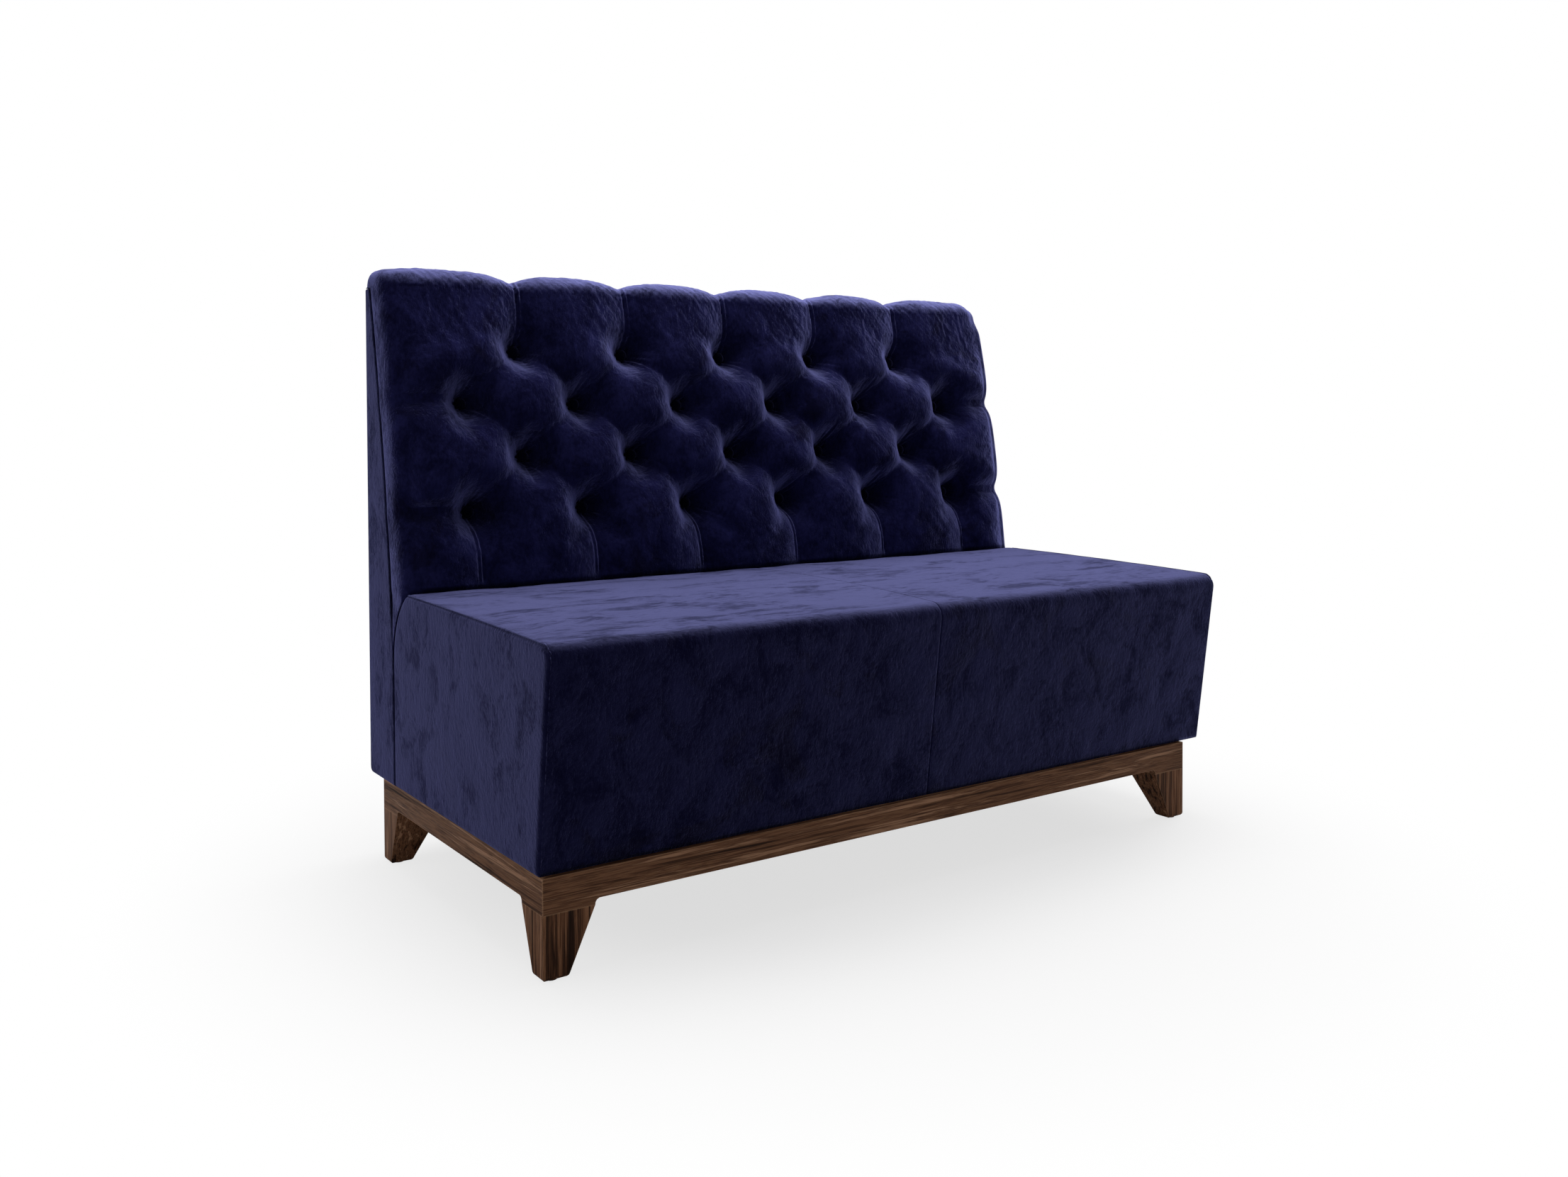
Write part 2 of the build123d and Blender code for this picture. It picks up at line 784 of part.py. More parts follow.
nodes = {
    "leg_bolts": leg_bolts(),
    "leg_washers": leg_washers(),
    "leg_nuts": leg_nuts(),
    "leg_glides": glides(),
    "block_screws": [
        screw(start, way, base_screw_diameter, block_screw_length) for start, way in block_screw_lines()
    ],
    "base_screws": [
        screw(place, UP, base_screw_diameter, base_screw_length) for place in base_screw_places()
    ],
    "dust_cover": dust_cover(),
    "seat_front_board": seat_front_board(),
    "seat_rear_board": seat_rear_board(),
    "seat_left_board": seat_end_board(-boards_half),
    "seat_right_board": seat_end_board(boards_half - board),
    "seat_deck": seat_deck(),
    "deck_screws": [
        screw(place, DOWN, deck_screw_diameter, deck_screw_length) for place in deck_screw_places()
    ],
    "seat_foam": seat_foam(),
    "seat_cover_left": seat_cover(-1),
    "seat_cover_right": seat_cover(1),
    "seat_side_left": eased_panel(-1, seat_side_outline),
    "seat_side_right": eased_panel(1, seat_side_outline),
    "back_foot_rail": back_foot_rail(),
    "back_bolt_rail": back_bolt_rail(),
    "back_top_rail": back_top_rail(),
    "back_left_rib": back_rib(-boards_half),
    "back_right_rib": back_rib(boards_half - board),
    "back_board": back_board(),
    "back_rear_board": back_rear_board(),
    "back_bolts": back_bolts(),
    "back_nuts": back_nuts(),
    "shell_side_left": eased_panel(-1, shell_side_outline),
    "shell_side_right": eased_panel(1, shell_side_outline),
    "shell_rear_panel": shell_rear_panel(),
    "back_pad": back_pad(),
    "tuft_buttons": [place * button() for place in button_places()],
}
nodes |= {f"base_rail_{side}": body for side, body in base_rails().items()}
nodes |= {f"leg_{name}": leg(corner) for name, corner in corners.items()}
nodes |= {f"base_block_{name}": corner_block(corner) for name, corner in corners.items()}
for number, place in enumerate(rib_places, 1):
    nodes[f"seat_rib_{number}"] = seat_end_board(place - board / 2)
    nodes[f"back_rib_{number}"] = back_rib(place - board / 2)

os.makedirs("parts", exist_ok=True)
for name, shape in nodes.items():
    if isinstance(shape, list):
        shape = Compound([solid for piece in shape for solid in piece.solids()])
    export_step(shape, f"parts/{name}.step")
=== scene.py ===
# The banquette's looks: velvet over foam, covered buttons and walnut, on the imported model.
# Lengths in this file are in millimetres until a mesh is made, which is in metres.
import json
from math import asin, atan2, cos, hypot, pi, radians, sin, sqrt

import bmesh
import bpy
import numpy as np
from mathutils import Matrix, Vector

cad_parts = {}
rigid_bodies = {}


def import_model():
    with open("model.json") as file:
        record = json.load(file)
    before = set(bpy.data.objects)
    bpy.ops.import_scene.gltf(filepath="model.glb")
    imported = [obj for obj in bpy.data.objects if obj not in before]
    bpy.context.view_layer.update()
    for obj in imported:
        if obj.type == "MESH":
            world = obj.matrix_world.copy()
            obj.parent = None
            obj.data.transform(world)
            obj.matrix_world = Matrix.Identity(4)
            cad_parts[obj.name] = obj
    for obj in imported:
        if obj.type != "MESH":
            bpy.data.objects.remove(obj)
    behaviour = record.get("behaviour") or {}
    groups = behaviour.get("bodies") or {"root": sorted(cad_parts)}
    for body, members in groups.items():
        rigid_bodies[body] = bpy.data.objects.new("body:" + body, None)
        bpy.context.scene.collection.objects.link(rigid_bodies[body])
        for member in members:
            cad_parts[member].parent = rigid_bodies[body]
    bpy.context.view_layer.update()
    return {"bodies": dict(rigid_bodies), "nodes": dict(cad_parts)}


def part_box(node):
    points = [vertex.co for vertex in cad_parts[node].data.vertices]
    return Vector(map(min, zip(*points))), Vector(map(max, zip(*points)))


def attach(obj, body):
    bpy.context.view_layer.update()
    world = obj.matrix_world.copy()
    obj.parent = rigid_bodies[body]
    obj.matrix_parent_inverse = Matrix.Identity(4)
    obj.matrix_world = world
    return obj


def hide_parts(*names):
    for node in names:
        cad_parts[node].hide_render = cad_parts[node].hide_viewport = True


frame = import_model()
body = next(iter(frame["bodies"]))

# Sizes shared with the model
HALF = 650
FRONT_Y, REAR_Y = -342, 339
SHELL_TOP = 928
SEAT_FRONT, SEAT_REAR = 434, 444
CARCASS_TOP = 338
FOOT_Z = 134.3
SHELL_FOOT_Y, SHELL_TOP_Y = 222, 319
SEAT_REAR_Y = 220.8
LEAN_SAGITTA = 11.7
BOARDS_HALF = 644

run, rise = SHELL_TOP_Y - SHELL_FOOT_Y, SHELL_TOP - CARCASS_TOP
chord = hypot(run, rise)
LEAN_R = chord**2 / (8 * LEAN_SAGITTA) + LEAN_SAGITTA / 2
LEAN_Y = (SHELL_FOOT_Y + SHELL_TOP_Y) / 2 + (LEAN_R - LEAN_SAGITTA) * rise / chord
LEAN_Z = (CARCASS_TOP + SHELL_TOP) / 2 - (LEAN_R - LEAN_SAGITTA) * run / chord

CREVICE_REACH = 61
CREVICE_R = (CREVICE_REACH**2 + (SEAT_REAR - CARCASS_TOP) ** 2) / (2 * CREVICE_REACH)
CREVICE_Y = SEAT_REAR_Y - CREVICE_R


def smooth(low, high, value):
    t = np.clip((value - low) / (high - low), 0, 1)
    return t * t * (3 - 2 * t)


def grid_mesh(name, points, closed=False):
    """A mesh from a grid of points in millimetres, closed into a tube along its second axis if asked."""
    rows, cols = points.shape[:2]
    index = np.arange(rows * cols).reshape(rows, cols)
    right = np.roll(index, -1, axis=1) if closed else index[:, 1:]
    left = index if closed else index[:, :-1]
    quads = np.stack([left[:-1], right[:-1], right[1:], left[1:]], axis=-1).reshape(-1, 4)
    mesh = bpy.data.meshes.new(name)
    mesh.from_pydata((points.reshape(-1, 3) / 1000).tolist(), [], quads.tolist())
    mesh.validate()
    mesh.shade_smooth()
    obj = bpy.data.objects.new(name, mesh)
    bpy.context.scene.collection.objects.link(obj)
    return obj


def close(obj):
    """Merges doubled points, fills the open ends of a mesh and turns its faces outwards."""
    mesh = bmesh.new()
    mesh.from_mesh(obj.data)
    bmesh.ops.remove_doubles(mesh, verts=mesh.verts, dist=2e-6)
    bmesh.ops.holes_fill(mesh, edges=[e for e in mesh.edges if e.is_boundary])
    bmesh.ops.recalc_face_normals(mesh, faces=mesh.faces)
    mesh.to_mesh(obj.data)
    mesh.free()
    return obj


RIPPLE_WAVES = 24


def ripple(u, w, length, seed):
    """A gentle random unevenness of about unit height, with waves of about the given length."""
    waves = np.random.default_rng(seed)
    total = 0
    for _ in range(RIPPLE_WAVES):
        angle, size = waves.uniform(0, 2 * pi), waves.uniform(0.6, 1.6)
        k = 2 * pi / (length * size)
        total = total + np.sin(k * (u * cos(angle) + w * sin(angle)) + waves.uniform(0, 2 * pi))
    return total / sqrt(RIPPLE_WAVES / 2)


def along(points, spread=None, step=None):
    """Points along a polyline: at given shares, or evenly, so many or so far apart."""
    points = np.array(points, float)
    length = np.concatenate(([0], np.cumsum(np.hypot(*np.diff(points, axis=0).T))))
    if not isinstance(spread, np.ndarray):
        spread = np.linspace(0, 1, spread or round(length[-1] / step) + 1)
    return np.stack([np.interp(spread * length[-1], length, points[:, i]) for i in (0, 1)], axis=-1)


def arc(center, radius, start, end, count=12):
    angles = np.linspace(start, end, count)
    return [(center[0] + radius * cos(a), center[1] + radius * sin(a)) for a in angles]


# Materials
def nodes_of(name):
    material = bpy.data.materials.new(name)
    material.use_nodes = True
    tree = material.node_tree
    return material, tree, tree.nodes["Principled BSDF"]


def link(tree, value, socket):
    """Sets a socket from another one, a number or a colour."""
    if isinstance(value, bpy.types.NodeSocket):
        tree.links.new(value, socket)
    elif isinstance(value, tuple):
        socket.default_value = (*value, 1)
    else:
        socket.default_value = value


def noise(tree, vector, scale, detail=4, rough=0.55, stretch=(1, 1, 1), distortion=0):
    """A noise read in the object's own coordinates, stretched along one of its axes."""
    mapping = tree.nodes.new("ShaderNodeMapping")
    mapping.inputs["Scale"].default_value = stretch
    tree.links.new(vector, mapping.inputs["Vector"])
    node = tree.nodes.new("ShaderNodeTexNoise")
    node.inputs["Scale"].default_value = scale
    node.inputs["Detail"].default_value = detail
    node.inputs["Roughness"].default_value = rough
    node.inputs["Distortion"].default_value = distortion
    tree.links.new(mapping.outputs["Vector"], node.inputs["Vector"])
    return node.outputs["Fac"]


def blend_values(tree, factor, low, high):
    node = tree.nodes.new("ShaderNodeMix")
    for socket, value in (("Factor", factor), ("A", low), ("B", high)):
        link(tree, value, node.inputs[socket])
    return node.outputs["Result"]


def curve(tree, value, low, high, to_low=0, to_high=1):
    node = tree.nodes.new("ShaderNodeMapRange")
    node.interpolation_type = "SMOOTHSTEP"
    tree.links.new(value, node.inputs["Value"])
    for socket, number in (("From Min", low), ("From Max", high), ("To Min", to_low), ("To Max", to_high)):
        node.inputs[socket].default_value = number
    return node.outputs["Result"]


def ramp(tree, value, *stops):
    node = tree.nodes.new("ShaderNodeValToRGB")
    while len(node.color_ramp.elements) < len(stops):
        node.color_ramp.elements.new(0.5)
    for element, (place, colour) in zip(node.color_ramp.elements, stops):
        element.position, element.color = place, (*colour, 1)
    tree.links.new(value, node.inputs["Fac"])
    return node.outputs["Color"]


def place_of(tree):
    return tree.nodes.new("ShaderNodeTexCoord").outputs["Object"]


def height_of(tree, vector):
    """The Z of a place or of a direction."""
    node = tree.nodes.new("ShaderNodeSeparateXYZ")
    tree.links.new(vector, node.inputs["Vector"])
    return node.outputs["Z"]


def fibres_along(grain, share):
    """The stretch of a noise whose streaks run along one axis."""
    return tuple(share if axis == grain else 1 for axis in range(3))


def dress(tree, shader, colour, rough, normal):
    for name, value in (("Base Color", colour), ("Roughness", rough), ("Normal", normal)):
        link(tree, value, shader.inputs[name])


def add_product(tree, value, factor, base):
    """value times factor plus base, kept between 0 and 1."""
    node = tree.nodes.new("ShaderNodeMath")
    node.operation, node.use_clamp = "MULTIPLY_ADD", True
    for socket, number in zip(node.inputs, (value, factor, base)):
        link(tree, number, socket)
    return node.outputs[0]


def tint(tree, factor, low, high, how="MIX"):
    """Two colours mixed, multiplied or overlaid."""
    node = tree.nodes.new("ShaderNodeMix")
    node.data_type, node.blend_type = "RGBA", how
    for socket, value in zip((node.inputs["Factor"], node.inputs[6], node.inputs[7]), (factor, low, high)):
        link(tree, value, socket)
    return node.outputs[2]


def relief(tree, height, depth, strength=1.0, under=None):
    """A bump of a real depth in metres, over another one if given."""
    node = tree.nodes.new("ShaderNodeBump")
    node.inputs["Strength"].default_value = strength
    node.inputs["Distance"].default_value = depth
    tree.links.new(height, node.inputs["Height"])
    if under:
        tree.links.new(under, node.inputs["Normal"])
    return node.outputs["Normal"]


SHEEN = (0.34, 0.36, 0.95)
# The first tone darkens crushed patches of the pile; the second is the painted shade in seams and pockets.
CRUSHED_TONE, PAINTED_HOLLOW_SHADE = (0.003, 0.0022, 0.0045), (0.0012, 0.0012, 0.004)
# In some brushed patches the painted light's tone drops to this share of its full tone.
DIM_PAINTED_LIGHT_SHARE = 0.38
ROLL_LIT = (0.92, 0.955)


def velvet(
    name, depth, body_tone, painted_light_tone, crush=1.0, graze=(0.22, 1.02), blot=1.0, above=(0.45, 0.95, 0.34), roll=0,
    shade_reach=0.012, shade_span=(0.3, 0.75),
):
    """Velvet: dark into the pile, with brushed and crushed patches, and a painted sheen that turns it pale
    where the eye grazes it.
    above: between which slopes its upward faces get painted light, and by how much; a negative share paints
    shade. roll: how much more painted highlight those on top of the pad get. Painted shade darkens it in
    seams and pockets, within the reach in metres that shade_reach gives."""
    material, tree, shader = nodes_of(name)
    place = place_of(tree)
    facing = height_of(tree, tree.nodes.new("ShaderNodeNewGeometry").outputs["Normal"])
    upward = curve(tree, facing, 0.6, 0.9)
    hanging = noise(tree, place, 19, 8, 0.7, (1, 1, 0.75), 0.5)
    lying = noise(tree, place, 15, 8, 0.7, (0.4, 1, 1), 0.9)
    patches = blend_values(tree, upward, hanging, lying)
    down_strokes = noise(tree, place, 210, 5, 0.66, (1, 1, 0.55))
    long_strokes = noise(tree, place, 150, 5, 0.66, (0.35, 1, 1))
    strokes = blend_values(tree, upward, down_strokes, long_strokes)
    brushed = blend_values(tree, 0.32, patches, strokes)
    pile = noise(tree, place, 1100, 2, 0.5)
    normal = relief(tree, strokes, 0.0013 * crush)
    normal = relief(tree, patches, 0.0024 * crush, under=normal)
    normal = relief(tree, pile, 0.0003, under=normal)
    # Painted sheen: where Layer Weight's Facing shows the surface seen at a grazing angle, the colour is
    # painted pale.
    weight = tree.nodes.new("ShaderNodeLayerWeight")
    weight.inputs["Blend"].default_value = 0.5
    tree.links.new(normal, weight.inputs["Normal"])
    painted_light = curve(tree, weight.outputs["Facing"], *graze)
    # Painted light on upward faces by the share in above; the pad's negative share paints shade on them
    # instead.
    painted_light = add_product(tree, curve(tree, facing, *above[:2]), above[2], painted_light)
    # Painted highlight along the top of the pad's roll, by the share in roll.
    if roll:
        roll_highlight = curve(tree, height_of(tree, place), *ROLL_LIT, 0, roll)
        painted_light = add_product(tree, roll_highlight, curve(tree, facing, 0.2, 0.8), painted_light)
    # Painted shade: ambient occlusion takes out the painted light and darkens the colour in seams, creases
    # and button pockets.
    shade_probe = tree.nodes.new("ShaderNodeAmbientOcclusion")
    shade_probe.samples = 6
    shade_probe.inputs["Distance"].default_value = shade_reach
    unshaded = curve(tree, shade_probe.outputs["AO"], *shade_span)
    painted_light = blend_values(tree, unshaded, 0, painted_light)
    into = curve(tree, brushed, 0.36, 0.66)
    low = tint(tree, into, depth, body_tone)
    dim_painted_light_tone = tuple(DIM_PAINTED_LIGHT_SHARE * c for c in painted_light_tone)
    high = tint(tree, curve(tree, brushed, 0.385, 0.52), dim_painted_light_tone, painted_light_tone)
    crushed = noise(tree, place, 11, 6, 0.62, (0.8, 1, 0.8), 0.8)
    low = tint(tree, curve(tree, crushed, 0.56, 0.66, 0, blot), low, CRUSHED_TONE)
    low = tint(tree, unshaded, PAINTED_HOLLOW_SHADE, low)
    tree.links.new(tint(tree, painted_light, low, high), shader.inputs["Base Color"])
    tree.links.new(normal, shader.inputs["Normal"])
    shader.inputs["Roughness"].default_value = 0.95
    shader.inputs["Specular IOR Level"].default_value = 0
    shader.inputs["Sheen Weight"].default_value = 0.38
    shader.inputs["Sheen Roughness"].default_value = 0.3
    shader.inputs["Sheen Tint"].default_value = (*SHEEN, 1)
    return material


def walnut(name, grain, tone):
    """Oiled walnut, with its grain along one axis, a little lighter or darker."""
    material, tree, shader = nodes_of(name)
    place = place_of(tree)
    bands = noise(tree, place, 125, 7, 0.66, fibres_along(grain, 0.024), 0.4)
    drift = noise(tree, place, 8, 2, 0.5, fibres_along(grain, 0.05))
    pores = noise(tree, place, 520, 2, 0.5, fibres_along(grain, 0.035))
    both = blend_values(tree, 0.22, bands, drift)
    stops = (
        (0.395, (0.024, 0.009, 0.004)), (0.45, (0.115, 0.048, 0.023)), (0.5, (0.25, 0.118, 0.06)),
        (0.54, (0.105, 0.042, 0.019)), (0.59, (0.4, 0.212, 0.12)),
    )
    colour = ramp(tree, both, *((stop, tuple(tone * c for c in shade)) for stop, shade in stops))
    # Paler edges, where the Bevel node's normal turns away from the face's: partly wear, partly a painted
    # highlight.
    edge_wear_and_highlight = tree.nodes.new("ShaderNodeBevel")
    edge_wear_and_highlight.samples = 4
    edge_wear_and_highlight.inputs["Radius"].default_value = 0.0022
    turn = tree.nodes.new("ShaderNodeVectorMath")
    turn.operation = "DOT_PRODUCT"
    tree.links.new(edge_wear_and_highlight.outputs["Normal"], turn.inputs[0])
    tree.links.new(tree.nodes.new("ShaderNodeNewGeometry").outputs["Normal"], turn.inputs[1])
    colour = tint(tree, curve(tree, turn.outputs["Value"], 0.995, 0.86, 0, 0.5), colour, (0.46, 0.27, 0.155))
    colour = tint(tree, curve(tree, pores, 0.36, 0.47, 0.6, 0), colour, (0.3, 0.24, 0.2), "MULTIPLY")
    rough = curve(tree, both, 0.3, 0.7, 0.66, 0.5)
    dress(tree, shader, colour, rough, relief(tree, blend_values(tree, 0.4, pores, bands), 0.0005))
    shader.inputs["Specular IOR Level"].default_value = 0.12
    return material


def grained(name, light, dark, grain, scale, rough):
    """A plain wood or board: two tones along its fibres, with a fine relief."""
    material, tree, shader = nodes_of(name)
    place = place_of(tree)
    fibres = noise(tree, place, scale, 5, 0.6, fibres_along(grain, 0.06), 0.2)
    flecks = noise(tree, place, scale * 5, 2, 0.5, fibres_along(grain, 0.2))
    both = blend_values(tree, 0.35, fibres, flecks)
    colour = ramp(tree, both, (0.36, dark), (0.5, light), (0.64, tuple(1.12 * c for c in light)))
    roughness = curve(tree, both, 0.35, 0.65, rough, rough - 0.12)
    dress(tree, shader, colour, roughness, relief(tree, both, 0.0003))
    return material


def plywood():
    """Birch plywood: pale faces, and plies that show as bands on its edges."""
    material, tree, shader = nodes_of("birch_plywood")
    place = place_of(tree)
    face = noise(tree, place, 60, 5, 0.6, fibres_along(0, 0.15), 0.3)
    plies = tree.nodes.new("ShaderNodeTexWave")
    plies.bands_direction = "DIAGONAL"
    plies.inputs["Scale"].default_value = 95
    plies.inputs["Distortion"].default_value = 1.2
    link(tree, place, plies.inputs["Vector"])
    stops = (0.38, (0.42, 0.28, 0.16)), (0.5, (0.6, 0.44, 0.28)), (0.62, (0.68, 0.53, 0.36))
    edges = curve(tree, plies.outputs["Fac"], 0.2, 0.8, 0, 0.35)
    colour = tint(tree, edges, ramp(tree, face, *stops), (0.33, 0.2, 0.11))
    dress(tree, shader, colour, curve(tree, face, 0.35, 0.65, 0.75, 0.6), relief(tree, face, 0.0003))
    return material


def zinc():
    """Bright zinc plate: a spangled, slightly dulled metal."""
    material, tree, shader = nodes_of("zinc_plate")
    place = place_of(tree)
    spangle = noise(tree, place, 380, 3, 0.6)
    clouding = noise(tree, place, 90, 4, 0.6)
    colour = ramp(tree, spangle, (0.35, (0.42, 0.43, 0.44)), (0.65, (0.66, 0.67, 0.66)))
    rough = curve(tree, clouding, 0.35, 0.65, 0.28, 0.5)
    dress(tree, shader, colour, rough, relief(tree, spangle, 0.0001))
    shader.inputs["Metallic"].default_value = 1
    return material


def dull(name, low, high, scale, rough, depth):
    """A matt, grainy finish, such as foam, felted cloth or moulded nylon."""
    material, tree, shader = nodes_of(name)
    place = place_of(tree)
    grain, drift = noise(tree, place, scale, 5, 0.7), noise(tree, place, scale / 30, 3, 0.5)
    colour = ramp(tree, blend_values(tree, 0.4, grain, drift), (0.36, low), (0.62, high))
    roughness = curve(tree, grain, 0.35, 0.65, rough, rough - 0.15)
    dress(tree, shader, colour, roughness, relief(tree, grain, depth))
    return material


seat_velvet = velvet(
    "velvet_seat", depth=(0.0035, 0.0036, 0.019), body_tone=(0.0115, 0.012, 0.045),
    painted_light_tone=(0.104, 0.109, 0.248), blot=0.5,
)
rear_velvet = velvet(
    "velvet_rear", depth=(0.0035, 0.0036, 0.019), body_tone=(0.0115, 0.012, 0.045),
    painted_light_tone=(0.08, 0.084, 0.2), crush=0.6, blot=0.25,
)
# The pad's velvet: a narrower painted sheen, painted shade on its upward faces, a painted highlight on its
# roll and painted shade over the wider reach of its pockets.
pad_velvet = velvet(
    "velvet_pad", depth=(0.0048, 0.005, 0.025), body_tone=(0.0155, 0.016, 0.073),
    painted_light_tone=(0.19, 0.199, 0.47), crush=1.1, graze=(0.4, 0.97), blot=0.45,
    above=(0.15, 0.6, -0.13), roll=0.6, shade_reach=0.045, shade_span=(0.2, 0.62),
)
foam_finish = dull("foam_finish", (0.62, 0.5, 0.26), (0.82, 0.72, 0.45), 900, 0.95, 0.0004)
dust_finish = dull("dust_cloth_finish", (0.008, 0.008, 0.009), (0.03, 0.03, 0.032), 1400, 0.98, 0.0003)
# The buttons' velvet takes near-black tones, a painted shade of the pockets they sit in.
button_velvet = velvet("velvet_button", (0.001, 0.001, 0.004), (0.003, 0.003, 0.014), (0.02, 0.02, 0.05))
WALNUT_TONES = (0.84, 0.9, 1.12)
walnut_x, walnut_y, walnut_z = (
    walnut(f"walnut_{axis}", grain, WALNUT_TONES[grain]) for grain, axis in enumerate("xyz")
)


# Deep-buttoned pad. Its front is measured along a line a little off the leaning board, its top round
# the roll.
ROWS = (828, 739.3, 650.7, 562)
WIDE_HALF, PITCH = 517.5, 207
BUTTONS = [(x * PITCH - (n - 1) * PITCH / 2, z) for z, n in zip(ROWS, (5, 6, 5, 6)) for x in range(n)]
ROLL_Y, ROLL_Z = 297, 922
ROLL_TURN = asin((ROLL_Z - LEAN_Z) / hypot(LEAN_Y - ROLL_Y, ROLL_Z - LEAN_Z))
ROLL_AHEAD = hypot(LEAN_Y - ROLL_Y, ROLL_Z - LEAN_Z) - LEAN_R
LINE_R = LEAN_R + 8
ROLL_START = LEAN_Z + LINE_R * sin(ROLL_TURN)
ROLL_R, ROLL_SPREAD, ROLL_FLAT, ROLL_TAIL = 35, 46, 27, 45
PAD_END, CORNER, CORNER_DEPTH = 649, 17, 27
SILL = SEAT_REAR
TUCK_DEPTH, TUCK_ROWS = 104, 27
BACK_GAP, CREVICE_GAP = 0.3, 1.5
POCKET, POCKET_RIM, FUNNEL = 9, 9, 20
SIDE_ROUNDING, MEAN_ROUNDING = 9, 9
END_THICK, END_NOTCH = 58, 17
CREST, CREST_FALL = 77, 17.3

# How thick the pad is over each kind of pleat, at its start, middle and end, how rounded the pleat is at
# its bottom, and how far its fold runs, which can be longer than any pleat
FULL_LENGTH = 900
SLANTING = (27, 57, 27, 10, 32)
RISING = (28, 43, 45, 9, FULL_LENGTH)
OVER_ROLL = (45, 45, 45, 8, FULL_LENGTH)
FALLING = (28, 60, 66, 11, FULL_LENGTH)
LEVEL = (28, 51, 43, 7, FULL_LENGTH)


def pleats():
    """Each pleat: its two ends, and the sizes of its kind."""
    found = []
    for x, z in BUTTONS:
        for other_x, other_z in BUTTONS:
            if 0 < z - other_z < 100 and abs(x - other_x) < PITCH * 0.6:
                found.append((x, z, other_x, other_z, *SLANTING))
        if z == ROWS[0]:
            found.append((x, z, x, ROLL_START, *RISING))
            found.append((x, ROLL_START, x, ROLL_START + 400, *OVER_ROLL))
        if z == ROWS[3]:
            found.append((x, z, x, SILL - 60, *FALLING))
        if z in (ROWS[1], ROWS[3]) and abs(x) > WIDE_HALF - 1:
            found.append((x, z, np.sign(x) * (PAD_END - CORNER), z, *LEVEL))
    return found


def from_line(x, v, ax, av, bx, bv):
    """For every point: its share along a line, its distance off it, and on which side."""
    dx, dv = bx - ax, bv - av
    t = np.clip(((x - ax) * dx + (v - av) * dv) / (dx * dx + dv * dv), 0, 1)
    side = ((x - ax) * dv - (v - av) * dx) / hypot(dx, dv)
    return t, np.hypot(x - ax - t * dx, v - av - t * dv), side


def from_buttons(x, v):
    return np.min([np.hypot(x - bx, v - bv) for bx, bv in BUTTONS], axis=0)


def pad_thickness(x, v):
    """How far the pad stands off its board: lobes swell between the pleats, buttons pull it in.
    A slanting pleat is steeper above its line than below it, where the next lobe starts gently."""
    weight = total = 0
    for *ends, low, mid, end, rounding, _ in pleats():
        t, away, side = from_line(x, v, *ends)
        away = away * (1 - 0.22 * np.tanh(side * np.sign(ends[2] - ends[0]) / 12))
        near_start = low + (mid - low) * (1 - np.maximum(1 - 2 * t, 0) ** 2.4)
        near_end = end + (mid - end) * (1 - np.maximum(2 * t - 1, 0) ** 2.4)
        share = (away**2 + rounding**2) ** -2
        weight, total = weight + share, total + share * np.where(t < 0.5, near_start, near_end)
    notch = sum(np.exp(-((np.abs(v - z) / 20) ** 1.3)) for z in (ROWS[1], ROWS[3]))
    level = END_THICK - END_NOTCH * notch - 1.5 * smooth(ROLL_START - 60, ROLL_START, v)
    share = ((np.maximum(PAD_END - CORNER - np.abs(x), 0) * 1.5) ** 2 + SIDE_ROUNDING**2) ** -2
    weight, total = weight + share, total + share * level
    reach = weight**-0.25 - MEAN_ROUNDING
    wide = 46 + 26 * smooth(790, 900, v) + 18 * smooth(560, 480, v)
    crest = CREST - CREST_FALL * smooth(745, ROLL_START + 12, v)
    swell = 1 - (1 - np.clip(reach / wide, 0, 1)) ** 2.2
    full = total / weight + (crest - total / weight) * swell
    droop = np.where(x > 0, 9, 1) * smooth(ROLL_START - 40, ROLL_START, v)
    full -= droop * np.clip((np.abs(x) - PAD_END + 52) / 35, 0, 1) ** 2
    off_rim = np.maximum(from_buttons(x, v) - POCKET_RIM, 0)
    return POCKET + (full - POCKET) * (1 - np.exp(-((off_rim / FUNNEL) ** 1.35)))


def bell(off, width):
    return np.exp(-((off / width) ** 2))


def pad_folds(x, v):
    """Fine folds: the tucked edge along each pleat, and the short creases that fan out of a button."""
    height = 0.5 * ripple(x, v, 75, 5) + 0.22 * ripple(x, v, 27, 6)
    for *ends, _, _, _, _, folded in pleats():
        t, away, side = from_line(x, v, *ends)
        length = hypot(ends[2] - ends[0], ends[3] - ends[1])
        run = np.exp(-((np.minimum(t, 1 - t) * length / folded) ** 2)) if folded < length else 1
        near = (away < 16) * run * (0.3 if ends[1] == ends[3] else 1)
        height = height - near * (2.8 * bell(side, 2.4) + 1.5 * bell(side - 8, 2.2))
        height = height + near * 1.3 * bell(side - 4, 2.6)
    fan = np.random.default_rng(5)
    for bx, bv in BUTTONS:
        for angle in (66, 88, 114, 190, 222, 250, 286, 318, 334, 352):
            a = radians(angle + fan.normal(0, 6))
            out, off = (x - bx) * cos(a) + (v - bv) * sin(a), (v - bv) * cos(a) - (x - bx) * sin(a)
            size, end = fan.uniform(0.4, 1.5) * (2.0 if angle in (66, 318, 334) else 1), fan.uniform(38, 62)
            line = 0.7 * bell(off, 2.4) - 1.1 * bell(off - 4.4, 2.2)
            height = height + size * line * smooth(9, 22, out) * smooth(end, end * 0.45, out)
    return height


